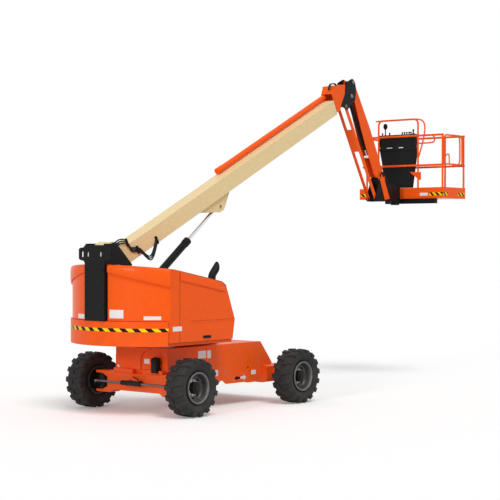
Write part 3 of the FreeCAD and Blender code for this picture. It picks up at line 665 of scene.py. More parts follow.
def new_tree(name, inputs):
    """An empty Geometry Nodes tree with inputs {name: kind of socket} and one geometry output."""
    tree = bpy.data.node_groups.new(name, "GeometryNodeTree")
    for socket, kind in inputs.items():
        tree.interface.new_socket(socket, in_out="INPUT", socket_type=f"NodeSocket{kind}")
    tree.interface.new_socket("Geometry", in_out="OUTPUT", socket_type="NodeSocketGeometry")
    return tree, tree.nodes.new("NodeGroupInput")


def copies_of(tree, source, points):
    """The node that puts the object from one socket on every point of another."""
    stamp = tree.nodes.new("GeometryNodeObjectInfo")
    wire(tree, source, stamp.inputs["Object"])
    copies = tree.nodes.new("GeometryNodeInstanceOnPoints")
    wire(tree, points, copies.inputs["Points"])
    wire(tree, stamp.outputs["Geometry"], copies.inputs["Instance"])
    return copies


def end_tree(tree, geometry, material):
    """Make the geometry plain mesh with one material, and hand it out."""
    real = tree.nodes.new("GeometryNodeRealizeInstances")
    wire(tree, geometry, real.inputs[0])
    coat = tree.nodes.new("GeometryNodeSetMaterial")
    wire(tree, real.outputs[0], coat.inputs["Geometry"])
    wire(tree, material, coat.inputs["Material"])
    wire(tree, coat.outputs[0], tree.nodes.new("NodeGroupOutput").inputs[0])
    return tree


def ring_tree():
    """Geometry Nodes: the base joined to copies of one lug, turned about the Y axis at even steps."""
    tree, entry = new_tree("Tread ring", {"Geometry": "Geometry", "Lug": "Object", "Count": "Int",
                                          "Centre": "Vector", "Material": "Material"})
    points = tree.nodes.new("GeometryNodePoints")
    wire(tree, entry.outputs["Count"], points.inputs["Count"])
    wire(tree, entry.outputs["Centre"], points.inputs["Position"])
    index = tree.nodes.new("GeometryNodeInputIndex")
    step = maths(tree, "DIVIDE", 2 * math.pi, entry.outputs["Count"])
    turn = tree.nodes.new("ShaderNodeCombineXYZ")
    wire(tree, maths(tree, "MULTIPLY", index.outputs[0], step), turn.inputs["Y"])
    copies = copies_of(tree, entry.outputs["Lug"], points.outputs[0])
    wire(tree, turn.outputs[0], copies.inputs["Rotation"])
    joined = tree.nodes.new("GeometryNodeJoinGeometry")
    wire(tree, copies.outputs[0], joined.inputs[0])
    wire(tree, entry.outputs["Geometry"], joined.inputs[0])
    return end_tree(tree, joined.outputs[0], entry.outputs["Material"])


def stud_tree():
    """Geometry Nodes: one stud on every point of the geometry."""
    tree, entry = new_tree("Studs", {"Geometry": "Geometry", "Stud": "Object", "Size": "Float",
                                     "Material": "Material"})
    copies = copies_of(tree, entry.outputs["Stud"], entry.outputs["Geometry"])
    wire(tree, entry.outputs["Size"], copies.inputs["Scale"])
    return end_tree(tree, copies.outputs[0], entry.outputs["Material"])


def grown(base, tree, stamp, inputs):
    """The base run through a tree of nodes, as one plain mesh; the stamp it copies is used up."""
    modifier = base.modifiers.new(tree.name, "NODES")
    modifier.node_group = tree
    for socket in tree.interface.items_tree:
        if socket.in_out == "INPUT" and socket.name in inputs:
            modifier[socket.identifier] = inputs[socket.name]
    applied(base)
    bpy.data.objects.remove(stamp)
    return base


def ringed(base, lug, count, middle, material):
    """The base piece with copies of a lug around the Y axis through middle."""
    tree = bpy.data.node_groups.get("Tread ring") or ring_tree()
    return grown(base, tree, lug, {"Lug": lug, "Count": count, "Centre": middle, "Material": material})


def studded(name, places, stud, material, size=1.0):
    """Copies of a stud, made about the origin, on every place."""
    tree = bpy.data.node_groups.get("Studs") or stud_tree()
    return grown(piece(name, places, [], material), tree, stud,
                 {"Stud": stud, "Size": size, "Material": material})


def bolt_head(outward, material, across=0.012):
    """A hexagon head on its washer about the origin, standing along outward."""
    turn = outward.to_track_quat("Z", "Y").to_matrix()
    levels = [(across * 1.35, 0.0, 24), (across * 1.35, 0.0025, 24), (across, 0.0025, 6), (across, 0.010, 6),
              (across * 0.8, 0.0125, 6)]
    vertices, faces, starts = [], [], []
    for radius, rise, sides in levels:
        starts.append(len(vertices))
        angles = [math.tau * side / sides for side in range(sides)]
        vertices += [turn @ Vector((radius * math.cos(angle), radius * math.sin(angle), rise))
                     for angle in angles]
    for first, second in ((0, 1), (2, 3), (3, 4)):
        faces += bridge(starts[first], starts[second], levels[first][2])
    faces += [tuple(range(starts[level], starts[level] + levels[level][2])) for level in (0, 1, 2, 4)]
    return tidy_mesh(piece("bolt_head", vertices, faces, material))


# ---------------------------------------------------------------- tyres and wheels

WHEELS = [(f"{axle}_{side}", sign) for axle in ("steer", "drive") for side, sign in SIDES.items()]


def tyre_profile(radius, half, lug):
    """Closed carcass section from one bead round the tread to the other, as (radius, offset)."""
    base = radius - lug
    outer = [(0.214, 0.098), (0.236, 0.104), (0.238, 0.112), (0.262, half - 0.028), (0.292, half - 0.012),
             (0.322, half - 0.003), (0.330, half), (0.337, half - 0.004), (0.358, half - 0.008),
             (base - 0.016, half - 0.02), (base, half - 0.045), (base + 0.004, half * 0.45),
             (base + 0.006, 0)]
    inner = [(0.214, -0.098)]
    return outer + [(r, -o) for r, o in reversed(outer[:-1])][:-1] + inner


def tread_lug(name, radius, half, lug, material):
    """One chevron bar with its shoulder foot: a bent, tapered block over the crown, at the wheel's top."""
    root = radius - lug - 0.008
    bar = [(0.004, -0.020, 0.030), (0.055, -0.004, 0.033), (half - 0.052, 0.014, 0.036),
           (half - 0.012, 0.026, 0.038)]
    vertices = []
    for offset, lead, wide in bar:
        crown = radius - 0.35 * (offset / half) ** 4 * 0.03
        for height, spread in ((root, 1.18), (crown, 0.95)):
            for side in (-1, 1):
                angle = (lead + side * wide * spread) / radius
                vertices.append((height * math.sin(angle), offset, height * math.cos(angle)))
    offset, lead, wide = half - 0.002, 0.030, 0.036
    for height, spread in ((radius - 0.086, 1.0), (radius - 0.022, 0.95)):
        for side in (-1, 1):
            angle = (lead + side * wide * spread) / radius
            vertices.append((height * math.sin(angle), offset + 0.0015, height * math.cos(angle)))
    faces = []
    for step in range(len(bar)):
        here, there = 4 * step, 4 * step + 4
        faces += [(here, there, there + 1, here + 1), (here + 2, here + 3, there + 3, there + 2),
                  (here, here + 2, there + 2, there), (here + 1, there + 1, there + 3, here + 3)]
    last = 4 * len(bar)
    faces += [(0, 1, 3, 2), (last, last + 2, last + 3, last + 1)]
    return round_edges(tidy_mesh(piece(name, vertices, faces, material)), 0.003)


def mirrored(made, name, turn):
    """A copy of a lug on the other half of the tread, half a pitch on."""
    copy = placed(name, made.data.copy())
    copy.data.transform(Matrix.Rotation(turn, 4, "Y") @ Matrix.Scale(-1, 4, (0, 1, 0)))
    return tidy_mesh(copy)


class LIFT_OT_tyres(Operator):
    """Build the four lugged tyres"""
    bl_idname = "boom_lift.tyres"
    bl_label = "Build the tyres"

    def execute(self, context):
        options = settings().tyre
        lug_height = options.lug_height
        for name, _ in WHEELS:
            node = f"tyre_{name}"
            middle = centre(node)
            radius = (high(node).z - low(node).z) / 2 - INSET
            half = (high(node).y - low(node).y) / 2 - 0.002
            section = tyre_profile(radius, half, lug_height)
            carcass = lathe(f"tyre_tread_{name}", section, middle, rubber(), 120)
            near = tread_lug("lug_a", radius, half, lug_height, rubber())
            far = mirrored(near, "lug_b", math.pi / options.lugs)
            ringed(carcass, near, options.lugs, middle, rubber())
            ringed(carcass, far, options.lugs, middle, rubber())
            smooth_by_angle(carcass, 28)
            seat(carcass, f"wheel_{name}", "tyre", node)
        return {"FINISHED"}


RIM_SECTION = [
    (0.211, -0.140), (0.211, 0.118), (0.202, 0.124), (0.197, 0.110), (0.193, 0.062), (0.184, 0.040),
    (0.165, 0.026), (0.136, 0.018), (0.112, 0.024), (0.098, 0.031), (0.084, 0.031), (0.084, 0.100),
    (0.079, 0.107), (0.059, 0.109), (0.057, 0.120), (0.050, 0.124), (0.0, 0.126), (0.0, 0.076),
    (0.046, 0.076), (0.046, -0.012), (0.190, -0.012), (0.198, -0.030), (0.198, -0.140),
]
FLANGE_SECTION = [
    (0.212, 0.116), (0.224, 0.124), (0.231, 0.134), (0.230, 0.143), (0.222, 0.149), (0.212, 0.148),
    (0.205, 0.140), (0.202, 0.124),
]
HUB_COVER = [
    (0.0868, 0.033), (0.0868, 0.101), (0.0812, 0.1095), (0.0618, 0.1116), (0.0598, 0.1226), (0.052, 0.1268),
    (0.0, 0.1288), (0.0, 0.1255), (0.050, 0.1235), (0.0565, 0.1195), (0.0585, 0.1085), (0.0785, 0.1065),
    (0.0835, 0.0995), (0.0835, 0.033),
]
HUB_DRUM = [(0.05, -0.014), (0.132, -0.014), (0.138, -0.02), (0.138, -0.048), (0.13, -0.058), (0.09, -0.064),
            (0.05, -0.064)]
# The ring that carries the black pockets of painted shade in the dish openings.
SHADE_POCKET_RING = [(0.150, 0.0195), (0.153, 0.0205), (0.153, 0.0225), (0.150, 0.0215)]


def spoke_nut(name, ring, seat_offset, outward, material):
    """A six-sided nut with a stud end, at the top of the wheel's ring of nuts."""
    vertices, faces = [], []
    sections = [(0.0135, 0.0), (0.0135, 0.013), (0.011, 0.016), (0.007, 0.016), (0.007, 0.022),
                (0.005, 0.024)]
    for radius, rise in sections:
        for corner in range(6):
            angle = math.radians(60 * corner)
            vertices.append((radius * math.cos(angle), outward * (seat_offset + rise),
                             ring + radius * math.sin(angle)))
    for level in range(len(sections) - 1):
        faces += bridge(6 * level, 6 * level + 6, 6)
    top = 6 * (len(sections) - 1)
    faces += [tuple(range(6)), tuple(range(top, top + 6))]
    return tidy_mesh(piece(name, vertices, faces, material))


def hole_shade_pocket(name, ring, offset, outward, material):
    """A shallow black rounded pocket at the top of the wheel: painted shade of one opening in the dish."""
    outline = rounded_outline(0.062, 0.034, 0.0165)
    front = [(u, outward * (offset + 0.0012), ring + v) for u, v in outline]
    back = [(u * 0.94, outward * (offset - 0.004), ring + v * 0.94) for u, v in outline]
    count = len(outline)
    faces = [tuple(range(count)), tuple(range(2 * count - 1, count - 1, -1)), *bridge(0, count, count)]
    return tidy_mesh(piece(name, front + back, faces, material))


class LIFT_OT_wheels(Operator):
    """Dress the four wheels: dish, flange ring, openings as black pockets of painted shade, nuts and hub cap
    """
    bl_idname = "boom_lift.wheels"
    bl_label = "Dress the wheels"

    def execute(self, context):
        options = settings().wheel
        near, far = options.nut_circle - 0.016, options.nut_circle + 0.016
        washer = [(near, 0.0275), (far, 0.0245), (far, 0.029), (near, 0.032)]
        for name, sign in WHEELS:
            body, middle = f"wheel_{name}", centre(f"tyre_{name}")
            disc = lathe(f"wheel_disc_{name}", RIM_SECTION, middle, wheel_enamel(), 72, sign)
            seat(disc, body, "wheel_grey", f"rim_{name}")
            flange = lathe(f"rim_flange_{name}", FLANGE_SECTION, middle, rim_lip(), 72, sign)
            seat(flange, body, "wheel_grey")
            nuts = lathe(f"wheel_nuts_{name}", washer, middle, zinc(), 48, sign)
            nut = spoke_nut("nut", options.nut_circle, 0.029, sign, zinc())
            seat(ringed(nuts, nut, options.nuts, middle, zinc()), body, "wheel_grey")
            cover = lathe(f"hub_cover_{name}", HUB_COVER, middle, black_enamel(), 48, sign)
            seat(cover, body, "wheel_grey")
            # Each opening in the dish is a shallow black pocket: painted shade where a real hole would show
            # the dark inside of the wheel.
            shade_pockets = lathe(f"dish_openings_{name}", SHADE_POCKET_RING, middle, black_moulding_and_hole_shade(), 48, sign)
            hole = hole_shade_pocket("hole", 0.158, 0.0245, sign, black_moulding_and_hole_shade())
            seat(ringed(shade_pockets, hole, options.openings, middle, black_moulding_and_hole_shade()), body, "wheel_grey")
        return {"FINISHED"}


# ---------------------------------------------------------------- warning bands and plates

def warning_band(name, pitch):
    """Yellow and black slanted bars, a little scuffed."""
    made = bpy.data.materials.get(name)
    if made:
        return made
    options = settings().stripe
    made = finish(name, tuple(options.yellow), 0.4, grain=400, bump=0.02, tone=0.04, rounding=0.0005,
                  specular=0.12)
    tree = made.node_tree
    base = tree.nodes["Principled BSDF"].inputs["Base Color"]
    bars = place_group(tree, "Slanted bars", pitch=pitch, slant=options.slant)
    wire(tree, mix_colour(tree, bars.outputs["Mask"], (0.006, 0.006, 0.006), base.links[0].from_socket), base)
    return made


def band(name, path, bottom, top, proud, material):
    """A thin closed strip on a wall, to the right of a plan path, with its length and height as UV metres."""
    corners, along, reach = [], [], 0.0
    for index, place in enumerate(path):
        before, after = path[max(index - 1, 0)], path[min(index + 1, len(path) - 1)]
        away = (after - before).cross(Z).normalized() * proud
        reach += (place - before).length if index else 0.0
        along.append(reach)
        corners += [place + rise + out for out, rise in
                    ((Vector(), Z * bottom), (Vector(), Z * top), (away, Z * top), (away, Z * bottom))]
    last = 4 * (len(path) - 1)
    faces = [(3, 2, 1, 0), tuple(range(last, last + 4))]
    for step in range(len(path) - 1):
        faces += bridge(4 * step, 4 * step + 4, 4)
    made = piece(name, corners, faces, material)
    sheet = made.data.uv_layers.new(name="UVMap")
    for loop in made.data.loops:
        height = top if loop.vertex_index % 4 in (1, 2) else bottom
        sheet.data[loop.index].uv = (along[loop.vertex_index // 4], height - bottom)
    return tidy_mesh(made, merge=False)


def tail_circle():
    """The counterweight's round rear in plan: x of its middle, its radius, and half the width it spans."""
    corner, far = low("counterweight"), high("counterweight")
    half, depth = far.y, far.x - corner.x
    radius = (half * half + depth * depth) / (2 * depth)
    return corner.x + radius, radius, half


def tail_arc(drawn_out=0.0, steps=40):
    """Plan path round the rear of the counterweight, from its left corner to its right one."""
    middle, radius, half = tail_circle()
    sweep = math.asin(half / radius)
    reach = radius + drawn_out
    turns = [sweep * (2 * step / steps - 1) for step in range(steps, -1, -1)]
    return [Vector((middle - reach * math.cos(turn), reach * math.sin(turn), 0)) for turn in turns]


def tail_bearing(place):
    """Degrees round the tail from straight behind to the right."""
    return math.degrees(math.atan2(-place.y, tail_circle()[0] - place.x))


# Where each warning band of the platform's toe boards starts and stops, as (x, y) from the corner named.
TOE_BANDS = {
    "toe_band_front": ("right", (0, 0.29), (0, 0)),
    "toe_band_side": ("right", (0, 0), (0.16, 0)),
    "toe_band_end": ("right end", (-0.26, 0), (-0.03, 0)),
    "toe_band_left": ("left", (0, -0.02), (0, -0.17)),
}


class LIFT_OT_bands(Operator):
    """Put the warning bands on the counterweight and the platform's toe boards"""
    bl_idname = "boom_lift.bands"
    bl_label = "Put on the warning bands"

    def execute(self, context):
        options = settings().stripe
        top = high("counterweight").z - options.drop
        rear = band("ballast_warning_band", tail_arc(), top - options.band, top, BAND_PROUD,
                    warning_band("Warning band", options.pitch))
        seat(rear, "turntable", "black_paint")
        near, far = low("platform_toe_boards"), high("platform_toe_boards")
        corners = {"right": near, "right end": Vector((far.x, near.y, 0)), "left": Vector((near.x, far.y, 0))}
        for name, (corner, *ends) in TOE_BANDS.items():
            path = [Vector((corners[corner].x + x, corners[corner].y + y, 0)) for x, y in ends]
            seat(band(name, path, near.z + 0.052, near.z + 0.108, BAND_PROUD,
                      warning_band("Narrow warning band", options.narrow)), "platform", "black_paint")
        return {"FINISHED"}


# ---------------------------------------------------------------- hoods

# The roof line as (x, z) from the ground under the steer axle, and x of the seam down the hood's side.
HOOD_ROOF = [(-1.2, 2.228), (-0.3, 2.12), (0.7, 1.935), (0.79, 1.88), (0.99, 1.37)]
HOOD_SEAM = -0.221
# Sections of mouldings, in shares of how proud and how tall each one is.
LIP_SECTION = [(0.0, 1.0), (0.3, 0.985), (0.62, 0.93), (0.88, 0.8), (1.0, 0.6), (1.0, 0.35), (0.92, 0.14),
               (0.75, 0.03), (0.5, 0.0), (0.0, 0.02)]
SHOULDER_SECTION = [(0.0, 1.0), (0.5, 0.55), (0.9, 0.16), (1.0, 0.07), (0.85, 0.0), (0.0, 0.0)]
SEAM_SECTION = [(0, 0), (1, 0), (1, 1), (0, 1)]
GRIP = [(-0.06, -0.006), (-0.06, -0.026), (-0.045, -0.030), (0.045, -0.030), (0.06, -0.026), (0.06, -0.006)]
# The lip's lower edge at the tail plate and how far it drops to its end; the shoulder's lower edge
# over the steer axle and its fall along the hood.
LIP_FOOT, LIP_DROP = 2.075, 0.215
SHOULDER_FOOT, SHOULDER_FALL = 1.923, 0.189
# How far the hoods' rear wall lies inside the counterweight's, and half the gap behind the tail plate.
HOOD_SETBACK = 0.025
TAIL_GAP = 0.222
# Blank plates on the rear wall: bearings of both ends in degrees, then the heights of both edges.
REAR_PLATES = {"rear_plate_wide": (10.6, 23.0, 1.43, 1.55), "rear_plate_side": (35.0, 47.2, 1.41, 1.462),
               "rear_plate_left": (-22.5, -12.0, 1.405, 1.47)}


def roof_height(x):
    """Height of the hood's roof line at x metres from the steer axle."""
    for (start, first), (end, second) in zip(HOOD_ROOF, HOOD_ROOF[1:]):
        if x <= end:
            return first + (second - first) * (x - start) / (end - start)
    return HOOD_ROOF[-1][1]


def hood_wall(steps=24):
    """Plan path along the right-hand hood from the tail plate round the rear to its side."""
    middle, radius, half = tail_circle()
    radius -= HOOD_SETBACK
    start, end = math.asin(TAIL_GAP / radius), math.asin(half / radius)
    turns = [start + (end - start) * step / steps for step in range(steps + 1)]
    return [Vector((middle - radius * math.cos(turn), -radius * math.sin(turn), 0)) for turn in turns]


class LIFT_OT_hoods(Operator):
    """Add the hoods' rear lip, shoulder, crease, seam, latch, hinge and blank plates"""
    bl_idname = "boom_lift.hoods"
    bl_label = "Trim the hoods"

    def execute(self, context):
        axle, half = at(0, 0, 0).x, high("hood_left").y
        wall = hood_wall()
        count = len(wall)
        lip = swept("hood_lip_right", wall, LIP_SECTION,
                    [LIP_FOOT - LIP_DROP * step / (count - 1) for step in range(count)],
                    [roof_height(place.x - axle) - 0.002 for place in wall], [0.030] * count, hood_enamel())
        side = [at(x, -half, 0) for x in (HOOD_SEAM + 0.012, -0.1, 0.2, 0.5, 0.7, 0.775)]
        shoulder = swept("hood_shoulder_right", side, SHOULDER_SECTION,
                         [SHOULDER_FOOT - SHOULDER_FALL * (place.x - axle) for place in side],
                         [roof_height(place.x - axle) - 0.003 for place in side], [0.016] * 5 + [0.004],
                         hood_enamel())
        run = [at(x, -half, 0) for x in (HOOD_SEAM + 0.2, 0.98)]
        crease = swept("hood_crease_right", run, SHOULDER_SECTION, [1.352] * 2, [1.378] * 2, [0.0035] * 2,
                       hood_enamel())
        run = [at(x, -half, 0) for x in (HOOD_SEAM, HOOD_SEAM + 0.006)]
        seam = swept("hood_seam_right", run, SEAM_SECTION, [1.08] * 2, [roof_height(HOOD_SEAM) - 0.02] * 2,
                     [0.0008] * 2, black_moulding_and_hole_shade())
        latch_seat = at(0.365, -half, 1.135)
        latch = panel("hood_latch_right", latch_seat, X, Z, rounded_outline(0.17, 0.038, 0.012), 0.008,
                      black_moulding_and_hole_shade(), 0.002)
        grip = tube("hood_grip_right", [latch_seat + Vector((x, y, 0)) for x, y in GRIP], 0.006,
                    black_moulding_and_hole_shade())
        run = [at(x, -0.30, roof_height(x) + 0.004) for x in (-0.78, -0.60)]
        hinge = tube("hood_hinge_right", run, 0.009, zinc(), smooth=False)
        for made in (lip, shoulder, crease, seam, latch, grip, hinge):
            seat(flipped(made, made.name.replace("right", "left")), "hood_left", "hood_shell")
            seat(made, "hood_right", "hood_shell")
        arc = tail_arc(-HOOD_SETBACK, 90)
        for name, (first, last, foot, top) in REAR_PLATES.items():
            span = [place for place in arc if first <= tail_bearing(place) <= last]
            hood = "hood_right" if first > 0 else "hood_left"
            seat(band(name, span, foot, top, PLATE, blank_plate()), hood, "hood_shell")
        card("side_plate", at(-0.27, -half, 1.276), X, rounded_outline(0.19, 0.066, 0.008), "hood_right",
             "hood_shell")
        return {"FINISHED"}


# ---------------------------------------------------------------- chassis

# Plain arrows as (along, across) and as (across, up).
ARROW = [(0, 0.017), (0.07, 0.017), (0.07, 0.042), (0.138, 0), (0.07, -0.042), (0.07, -0.017), (0, -0.017)]
UP_ARROW = [(-0.014, -0.045), (0.014, -0.045), (0.014, 0.01), (0.03, 0.01), (0, 0.05), (-0.03, 0.01),
            (-0.014, 0.01)]
# The arched plate over the steer axle, as (y, z), and its thickness; the canister as (radius, height).
ARCH = [(0.0, 0.622), (0.0, 0.79), (-0.02, 0.84), (-0.065, 0.882), (-0.13, 0.912), (-0.21, 0.93),
        (-0.21, 0.95), (0.36, 0.95), (0.515, 0.835), (0.515, 0.622)]
END_PLATE = 0.022
CANISTER = [(0, 0), (0.058, 0), (0.064, 0.006), (0.066, 0.02), (0.066, 0.165), (0.070, 0.17), (0.070, 0.19),
            (0.066, 0.195), (0.062, 0.212), (0.045, 0.222), (0.016, 0.224), (0.014, 0.236), (0, 0.236)]
# Blank plates on the right-hand side: x and z of the middle, width, height.
SIDE_PLATES = {"chassis_plate_a": (0.773, 0.828, 0.18, 0.112),
               "chassis_plate_b": (0.932, 0.822, 0.085, 0.118),
               "chassis_plate_c": (1.98, 0.483, 0.115, 0.068),
               "chassis_plate_d": (1.10, 0.528, 0.07, 0.09)}


def arrow(name, tail, heading, material):
    """A plain flat arrow on the right-hand side of the chassis, from its tail along heading."""
    return panel(name, tail, X, Z, [(u * heading, v * heading) for u, v in ARROW], PLATE, material)


class LIFT_OT_chassis(Operator):
    """Add the chassis end plate, canister, blank plates, arrows, axle saddles, hub drums and steer pipe"""
    bl_idname = "boom_lift.chassis"
    bl_label = "Trim the chassis"

    def execute(self, context):
        half = high("chassis_frame").y
        end = low("chassis_frame").x
        end_plate = panel("chassis_end_plate", Vector((end, 0, 0)), -Y, Z, [(-y, z) for y, z in ARCH],
                          END_PLATE, orange_enamel(), 0.003)
        seat(end_plate, "chassis", "orange_paint")
        stand = Vector((end - 0.078, -0.36, 0.60))
        canister = upright(lathe("oil_canister", CANISTER, stand, black_enamel(), 40), stand)
        seat(canister, "chassis", "black_paint")
        shelf = [(-0.075, -0.076), (0.075, -0.076), (0.075, 0.06), (-0.075, 0.06)]
        shelf = panel("canister_shelf", stand - Z * 0.008, Y, -X, shelf, 0.008, orange_enamel(), 0.002)
        seat(shelf, "chassis", "orange_paint")

        for name, (x, z, wide, tall) in SIDE_PLATES.items():
            card(name, at(x, -half, z), X, rounded_outline(wide, tall, 0.006), "chassis", "orange_paint")
        seat(arrow("drive_arrow_black", at(1.655, -half, 0.418), -1, black_moulding_and_hole_shade()), "chassis",
             "black_plastic")
        seat(arrow("drive_arrow_white", at(1.665, -half, 0.418), 1, blank_plate()), "chassis", "orange_paint")
        card("drive_arrow_end", Vector((end - END_PLATE, 0.458, 0.638)), -Y, UP_ARROW, "chassis",
             "orange_paint")
        card("end_plate_card", Vector((end, -0.115, 0.752)), -Y, rounded_outline(0.11, 0.07, 0.006),
             "chassis", "orange_paint")

        axle_top, inner = low("steer_axle").z + 0.25, low("steer_axle").x + 0.03
        for name, start, stop in (("right", -0.50, -0.10), ("left", 0.10, 0.50)):
            saddle = block(f"axle_saddle_{name}", Vector((inner, start, axle_top)),
                           Vector((inner + 0.13, stop, 0.632)), orange_enamel(), 0.004)
            seat(saddle, "chassis", "orange_paint")
        for name, sign in WHEELS:
            middle = centre(f"tyre_{name}")
            drum = lathe(f"hub_drum_{name}", HUB_DRUM, middle, black_enamel(), 48, sign)
            nut = spoke_nut("drum_nut", 0.112, 0.058, -sign, zinc())
            seat(ringed(drum, nut, 8, middle, black_enamel()), f"wheel_{name}", "wheel_grey")

        barrel, far = low("steer_cylinder_barrel"), high("steer_cylinder_barrel")
        fitting = Vector((barrel.x, (barrel.y + far.y) / 2, far.z))
        route = [(0.03, -0.15, -0.005), (0.03, -0.15, 0.035), (0.05, -0.05, 0.05), (0.10, 0.03, 0.06),
                 (0.15, 0.03, 0.03)]
        route = [fitting + Vector(place) for place in route]
        pipe = tube("steer_cylinder_pipes", route, 0.009, hose_rubber())
        seat(pipe, "chassis", "black_paint")
        return {"FINISHED"}


# ---------------------------------------------------------------- tail and boom

# The slots through the top of the tail plate, as (y, height); a pale pad shows through the two short ones.
SLOTS = [(0.243, 0.086), (0.130, 0.072), (-0.125, 0.072)]
SLOT_LEVEL = 2.336


class LIFT_OT_tail(Operator):
    """Cut the slots of the tail plate and round its corners"""
    bl_idname = "boom_lift.tail"
    bl_label = "Slot the tail plate"

    def execute(self, context):
        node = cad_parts["tail_plate"]
        mesh = node.data.copy()
        mesh.transform(node.matrix_world)
        plate = placed("tail_plate_slotted", mesh)
        corner, far = low("tail_plate"), high("tail_plate")
        work = bmesh.new()
        work.from_mesh(mesh)
        bmesh.ops.remove_doubles(work, verts=work.verts, dist=1e-5)
        bmesh.ops.dissolve_limit(work, angle_limit=0.01, verts=work.verts, edges=work.edges)
        through = [edge for edge in work.edges
                   if abs(edge.verts[0].co.x - edge.verts[1].co.x) > 0.9 * (far.x - corner.x)
                   and min(vertex.co.z for vertex in edge.verts) > corner.z + 0.5]
        bmesh.ops.bevel(work, geom=through, offset=0.030, segments=5, affect="EDGES", profile=0.5)
        work.to_mesh(mesh)
        work.free()
        for across, tall in SLOTS:
            cutter = panel("slot_cutter", Vector((far.x + 0.02, across, SLOT_LEVEL)), -Y, Z,
                           rounded_outline(0.036, tall, 0.0175), 0.06, black_enamel())
            cut = plate.modifiers.new("Slot", "BOOLEAN")
            cut.operation, cut.object, cut.solver = "DIFFERENCE", cutter, "EXACT"
            applied(plate)
            bpy.data.objects.remove(cutter)
        plate.data.materials.clear()
        plate.data.materials.append(black_enamel())
        seat(plate, "turntable", "black_paint", "tail_plate")
        for index, (across, _) in enumerate(SLOTS[1:]):
            seat(panel(f"tail_pad_{index}", Vector((far.x + 0.004, across, SLOT_LEVEL)), -Y, Z,
                       rounded_outline(0.05, 0.086, 0.02), 0.006, blank_plate()), "turntable", "black_paint")
        places = [(corner.x, y, z) for y in (-0.17, 0.17) for z in (1.46, 1.62, 1.95, 2.12)]
        bolts = studded("tail_plate_bolts", places, bolt_head(-X, black_enamel(), 0.011), black_enamel())
        seat(bolts, "turntable", "black_paint")
        return {"FINISHED"}


# Routes seen from the right, as (x, z) from the ground under the steer axle.
BOOM_HOSE = [(-0.679, 2.470), (-0.618, 2.498), (-0.577, 2.520), (-0.475, 2.527), (-0.414, 2.498),
             (-0.352, 2.411), (-0.310, 2.396), (-0.248, 2.403), (-0.143, 2.395), (-0.06, 2.330),
             (0.026, 2.276), (0.080, 2.275), (0.130, 2.34), (0.165, 2.43), (0.205, 2.55)]
NOSE_HOSE = [(4.530, 5.100), (4.536, 5.160), (4.566, 5.205), (4.640, 5.228), (4.720, 5.222), (4.790, 5.170)]
HOSE_CLAMPS = [(-0.430, 2.505), (-0.20, 2.40), (0.200, 2.540)]
MOUTH_BOLTS = [(4.586, 4.878), (4.620, 4.744)]
# The lift cylinder's eyes on the centre plane; its pipe as metres up from the foot eye and shares of the
# pipe's distance from the axis.
LIFT_EYES = [(-0.617, 1.260), (1.720, 3.060)]
CYLINDER_PIPE = [(0.20, 0.7), (0.24, 1.0), (0.30, 1.04), (1.2, 1.04), (1.92, 1.04), (1.98, 1.0), (2.02, 0.7)]
# Where the exhaust stands along the hood; its flange as (radius, height).
EXHAUST_X = 0.780
FLANGE = [(0.0575, -0.03), (0.078, -0.03), (0.078, 0.012), (0.07, 0.018), (0.0575, 0.018)]


def elbow_stations(foot, bend_at, mouth, radius, steps=10):
    """Places and directions along a pipe that stands up, bends towards the mouth and runs straight to it."""
    rise = (bend_at - foot).normalized()
    heading = (mouth - bend_at).normalized()
    setback = radius * math.tan(rise.angle(heading) / 2)
    start, end = bend_at - rise * setback, bend_at + heading * setback
    stations = [(foot, rise)]
    for step in range(steps + 1):
        part = step / steps
        place = start.lerp(bend_at, part).lerp(bend_at.lerp(end, part), part)
        stations.append((place, (rise * (1 - part) + heading * part).normalized()))
    return stations + [(mouth, heading)]


class LIFT_OT_exhaust(Operator):
    """Build the exhaust elbow with its mouth cut upright"""
    bl_idname = "boom_lift.exhaust"
    bl_label = "Build the exhaust"

    def execute(self, context):
        across, sides = centre("exhaust_stack").y, 28
        stations = elbow_stations(at(EXHAUST_X, across, 1.80), at(EXHAUST_X, across, 2.015),
                                  at(EXHAUST_X + 0.11, across, 2.135), 0.10)
        vertices, faces = [], []
        for radius in (0.058, 0.051):
            for index, (place, way) in enumerate(stations):
                over = way.cross(Y)
                for side in range(sides):
                    angle = math.tau * side / sides
                    corner = place + (Y * math.cos(angle) + over * math.sin(angle)) * radius
                    if index == len(stations) - 1:
                        corner += way * ((place.x - corner.x) / way.x)
                    vertices.append(corner)
        rings = len(stations)
        for wall in (0, rings):
            for ring in range(wall, wall + rings - 1):
                faces += bridge(ring * sides, (ring + 1) * sides, sides)
        for end in (0, rings - 1):
            faces += bridge(end * sides, (end + rings) * sides, sides)
        pipe = smooth_by_angle(tidy_mesh(piece("exhaust_elbow", vertices, faces, black_enamel())), 40)
        seat(pipe, "turntable", "black_paint", "exhaust_stack")
        foot = at(EXHAUST_X, across, roof_height(EXHAUST_X) + 0.004)
        flange = upright(lathe("exhaust_flange", FLANGE, foot, black_enamel(), 32), foot)
        seat(flange, "turntable", "black_paint")
        return {"FINISHED"}


